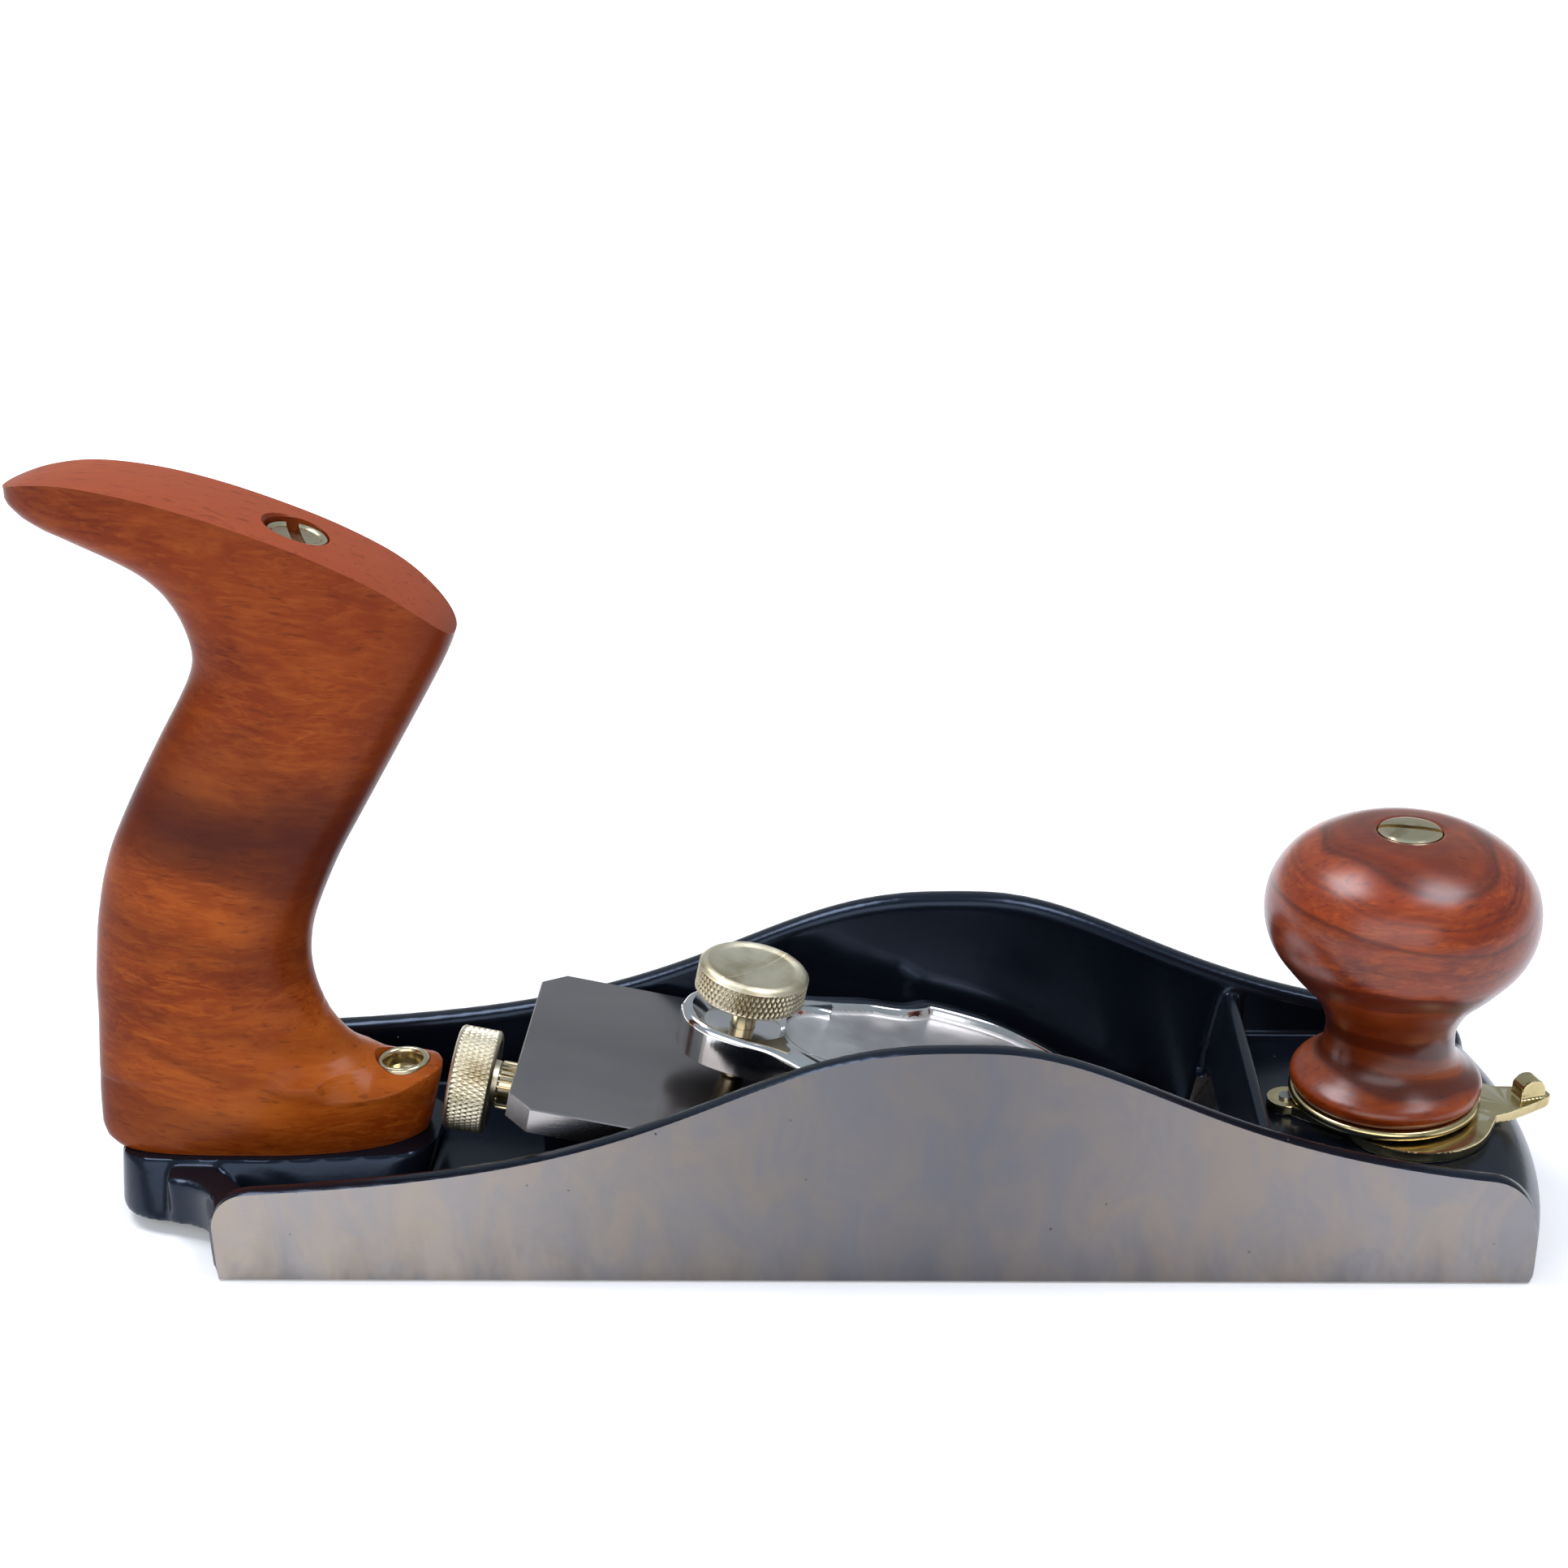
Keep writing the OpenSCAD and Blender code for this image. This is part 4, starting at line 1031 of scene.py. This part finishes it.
def knurl(r, z0, z1, count, pitch, depth, rows, cols, bm_top, bm_bot):
    """Solid wheel whose rim carries a grid of small pyramids. Tops and bottoms are (radius, height) lists."""
    bm = bmesh.new()
    prof = [(q, z, 0.0) for q, z in bm_bot]
    for i in range(rows + 1):
        prof.append((r, z0 + (z1 - z0) * i / rows, 1.0))
    prof += [(q, z, 0.0) for q, z in bm_top]
    rows_v = []
    for q, z, k in prof:
        if q < 1e-6:
            rows_v.append([bm.verts.new((0, 0, z))])
            continue
        row = []
        for j in range(cols):
            t = 2 * math.pi * j / cols
            d = 0.0
            if k:
                a, b = count * j / cols, z / pitch
                fade = min(1.0, (z - z0) / 0.35, (z1 - z) / 0.35)
                u = abs((a + b) - round(a + b))
                v = abs((a - b) - round(a - b))
                d = depth * max(1 - u / 0.30, 1 - v / 0.30, 0) * max(fade, 0.0)
            row.append(bm.verts.new(((q - d) * math.cos(t), (q - d) * math.sin(t), z)))
        rows_v.append(row)
    for a, b in zip(rows_v, rows_v[1:]):
        for j in range(cols):
            i = (j + 1) % cols
            if len(a) == 1:
                bm.faces.new((a[0], b[i], b[j]))
            elif len(b) == 1:
                bm.faces.new((a[j], a[i], b[0]))
            else:
                bm.faces.new((a[j], a[i], b[i], b[j]))
    return bm


def adjuster_wheel():
    r, w = 9.5, 7.6
    bot = [(0, 0.8), (r - 2.2, 0.8), (r - 1.9, 0.55), (r - 1.55, 0.08), (r - 1.3, 0.0), (r - 0.75, 0.0),
           (r - 0.4, 0.15), (r - 0.12, 0.45)]
    top = [(r - 0.12, w - 0.45), (r - 0.4, w - 0.15), (r - 0.75, w), (r - 1.5, w), (r - 1.9, w - 0.25),
           (r - 2.2, w - 0.6), (4.7, w - 0.6), (4.35, w - 0.4), (4.2, w + 0.65), (0, w + 0.65)]
    k = 2
    bm = knurl(r, 0.6, w - 0.6, 60, 2.0, 0.30, 22 * k, 240 * k, top, bot)
    return obj_to_bm(boolean(temp_obj(bm), [temp_obj(rod(3.05, 3, 13, 48))]))


def cap_wheel():
    r = 9.9
    bot = [(0, 0), (r - 1.0, 0), (r - 0.5, 0.12), (r - 0.1, 0.45)]
    top = [(r - 0.12, 5.2), (r - 0.4, 5.6), (r - 0.9, 5.95), (r - 1.35, 6.1), (r - 1.8, 6.0), (r - 2.2, 5.7)]
    top += [(q, 4.95 + 0.012 * q * q) for q in (7.2, 6.4, 5.4, 4.2, 3, 1.8, 0.8)] + [(0, 4.95)]
    k = 2
    bm = knurl(r, 0.6, 5.1, 64, 1.95, 0.30, 18 * k, 256 * k, top, bot)
    return obj_to_bm(boolean(temp_obj(bm), [temp_obj(rod(2.25, -1, 3, 48))]))


def thumb_stem():
    return revolve([(0, 0.1), (1.9, 0.1), (2.2, 0.4), (2.2, 14.3), (3.5, 14.3), (3.9, 14.6), (3.9, 16.3),
                    (2.2, 16.3), (2.2, 19.1), (0, 19.1)], 72)


def collar():
    """Brass collar with 24 splines on its front part."""
    loop = [(3.05, 0), (4.0, 0), (4.4, 0.3), (4.4, 3.4), (4.4, 3.7), (4.4, 4.1), (4.3, 5.0), (4.0, 5.4),
            (3.05, 5.4)]

    def bend(lp, t):
        g = (t * 24 / (2 * math.pi)) % 1
        d = 0.42 if abs(g - 0.5) < 0.2 else 0
        return [(r - d * (1 if 0.2 < z < 3.6 and r > 3.9 else 0), z) for r, z in lp]
    return turned(loop, 240, bend=bend)


# ---------------------------------------------------------------- stage
# Area lights: name, place, aim, size, power, colour.
LIGHTS = [("key", (-0.44, 0.16, 0.95), (0, 0, 0.03), (0.50, 0.40), 7.0, (0.92, 0.93, 1.0)),
          ("fill", (0.43, -0.10, 1.00), (0, 0, 0.03), (0.45, 0.40), 5.5, (0.94, 0.92, 1.0)),
          ("front", (-0.20, -0.95, 0.55), (0, 0, 0.03), (1.30, 0.70), 6.2, (0.98, 0.97, 1.0))]
FLOOR_HALF, FLOOR_Z = 4.0, -0.0004


def paper_floor():
    """Pale floor that glows more with distance, so its far edge meets the background."""
    bm = bmesh.new()
    bmesh.ops.create_grid(bm, x_segments=4, y_segments=4, size=FLOOR_HALF)
    mesh = bpy.data.meshes.new("floor")
    bm.to_mesh(mesh)
    bm.free()
    floor = bpy.data.objects.new("floor", mesh)
    floor.location = (0, 0, FLOOR_Z)
    m = Mat("floor_paper", Roughness=0.75, Specular_IOR_Level=0.1)
    m.bsdf.inputs["Emission Color"].default_value = (1, 1, 1, 1)
    far = m.node("VectorMath", operation="LENGTH")
    m.link(m.co, far.inputs[0])
    glow = m.ramp(far.outputs["Value"], [(0.16, 0.12), (0.75, 0.85)])
    m.link(glow, m.bsdf.inputs["Emission Strength"])
    m.out(m.ramp(m.noise(30, 2), [(0.3, (0.90, 0.90, 0.90)), (0.7, (0.93, 0.93, 0.93))]))
    mesh.materials.append(m.m)
    bpy.context.scene.collection.objects.link(floor)


def sky():
    world = bpy.data.worlds.new("world")
    bpy.context.scene.world = world
    world.use_nodes = True
    t = world.node_tree
    co, xyz, ramp = (t.nodes.new("ShaderNode" + k) for k in ("TexCoord", "SeparateXYZ", "ValToRGB"))
    for e, height, tint in zip(ramp.color_ramp.elements, (0.0, 0.7), ((0.80, 0.80, 0.80), (0.72, 0.86, 1.0))):
        e.position, e.color = height, (*tint, 1)
    t.links.new(co.outputs["Generated"], xyz.inputs[0])
    t.links.new(xyz.outputs[2], ramp.inputs[0])
    t.links.new(ramp.outputs[0], t.nodes["Background"].inputs[0])
    t.nodes["Background"].inputs[1].default_value = 0.50


def light(name, loc, aim, size, power, tint):
    d = bpy.data.lights.new(name, "AREA")
    d.shape, d.size, d.size_y = "RECTANGLE", size[0], size[1]
    d.energy, d.color = power, tint
    o = bpy.data.objects.new(name, d)
    o.location = loc
    o.rotation_euler = (Vector(aim) - Vector(loc)).to_track_quat("-Z", "Y").to_euler()
    bpy.context.scene.collection.objects.link(o)


# ---------------------------------------------------------------- build
camera()
paper_floor()
sky()
for row in LIGHTS:
    light(*row)

GROUND = mat_ground("ground_cheek")
JAPAN = mat_japan()
TOTE_TONES = ((0.110, 0.014, 0.001), (0.190, 0.029, 0.002), (0.260, 0.047, 0.004), (0.400, 0.098, 0.012))
KNOB_TONES = ((0.080, 0.008, 0.001), (0.150, 0.017, 0.002), (0.215, 0.029, 0.003), (0.360, 0.072, 0.008))
TOTE_WOOD = mat_wood("tote_cherry", TOTE_TONES, -8, 34, (0.31, 0.12, 0.53), (0.10, 0.20), 0.40, 0.50, True)
KNOB_WOOD = mat_wood("knob_cherry", KNOB_TONES, 9, 210, (0.74, 0.21, 0.17), (0.85, 0.27), 0.30, 0.78)
BRASS = mat_brass("turned_brass")
KNURL = mat_brass("knurled_brass", (0.66, 0.60, 0.44), 0.24, True)
GILT = mat_brass("washer_brass", (0.56, 0.46, 0.24), 0.14)
NICKEL = mat_nickel("nickel", 0.0, 0.09)
SATIN = mat_nickel("satin_nickel", 0.34, 0.5)
STEEL = mat_steel()
BLADE = mat_blade()

ON_KNOB = at(KNOB_X, 0, KNOB_Z)
ON_BLADE = ON_BED @ at(0, 0, BLADE_T)
piece("casting", casting(), [JAPAN, GROUND], "frame", ("body",), 28)
piece("rear_handle", tote(), [TOTE_WOOD], "frame", ("tote",), 34)
piece("front_knob", knob(), [KNOB_WOOD], "grip", ("knob",), 40, ON_KNOB)
piece("washer", washer(), [GILT], "toe", ("knob_washer",), 40, ON_KNOB @ at(0, 0, -2.1))
piece("front_nut", knob_nut(), [BRASS], "grip", ("knob_nut",), 30, ON_KNOB @ at(0, 0, KNOB_H - 9))
piece("eccentric_lever", lever(), [GILT], "eccentric", ("mouth_lever",), 30,
      at(KNOB_X, 0, DECK_Z + 0.1))
piece("iron", blade(), [BLADE], "iron", ("blade",), 20, ON_BED)
piece("cap", lever_cap(), [NICKEL, SATIN], "cap", ("lever_cap",), 40, ON_BLADE @ at(0, 0, SEAT_GAP))
piece("cap_screw", cap_screw(), [STEEL], "frame", ("lever_cap_screw",), 30,
      ON_BED @ at(CAP_SCREW_S, 0, 0))
piece("thumb_wheel", cap_wheel(), [KNURL], "thumbscrew", ("cap_wheel",), 30,
      ON_BLADE @ at(CAP_WHEEL_S, 0, 16.4))
piece("thumb_stem", thumb_stem(), [BRASS], "thumbscrew", ("cap_wheel_screw",), 30,
      ON_BLADE @ at(CAP_WHEEL_S, 0, 0))
piece("depth_wheel", adjuster_wheel(), [KNURL], "adjuster", ("adjuster_wheel",), 30,
      ON_ADJ @ at(0, 0, -11.8))
piece("splined_collar", collar(), [BRASS], "adjuster", ("adjuster_collar",), 24,
      ON_ADJ @ at(0, 0, -3.4))
piece("long_rod_nut", crest_nut(), [BRASS], "frame", ("tote_nut",), 30, ON_ROD)
piece("short_rod_nut", toe_nut(), [BRASS], "frame", ("tote_front_nut",), 40, at(TOE_ROD_X, 0, 0))
for node in ("adjuster_spindle", "adjuster_disc", "tote_rod", "toe_stud", "tote_front_rod", "mouth_pin",
             "toe_plate"):
    for ms in bpy.data.objects[node].material_slots:
        ms.material = GROUND if node == "toe_plate" else STEEL

bpy.context.scene.view_settings.view_transform = "Standard"
bpy.context.view_layer.update()
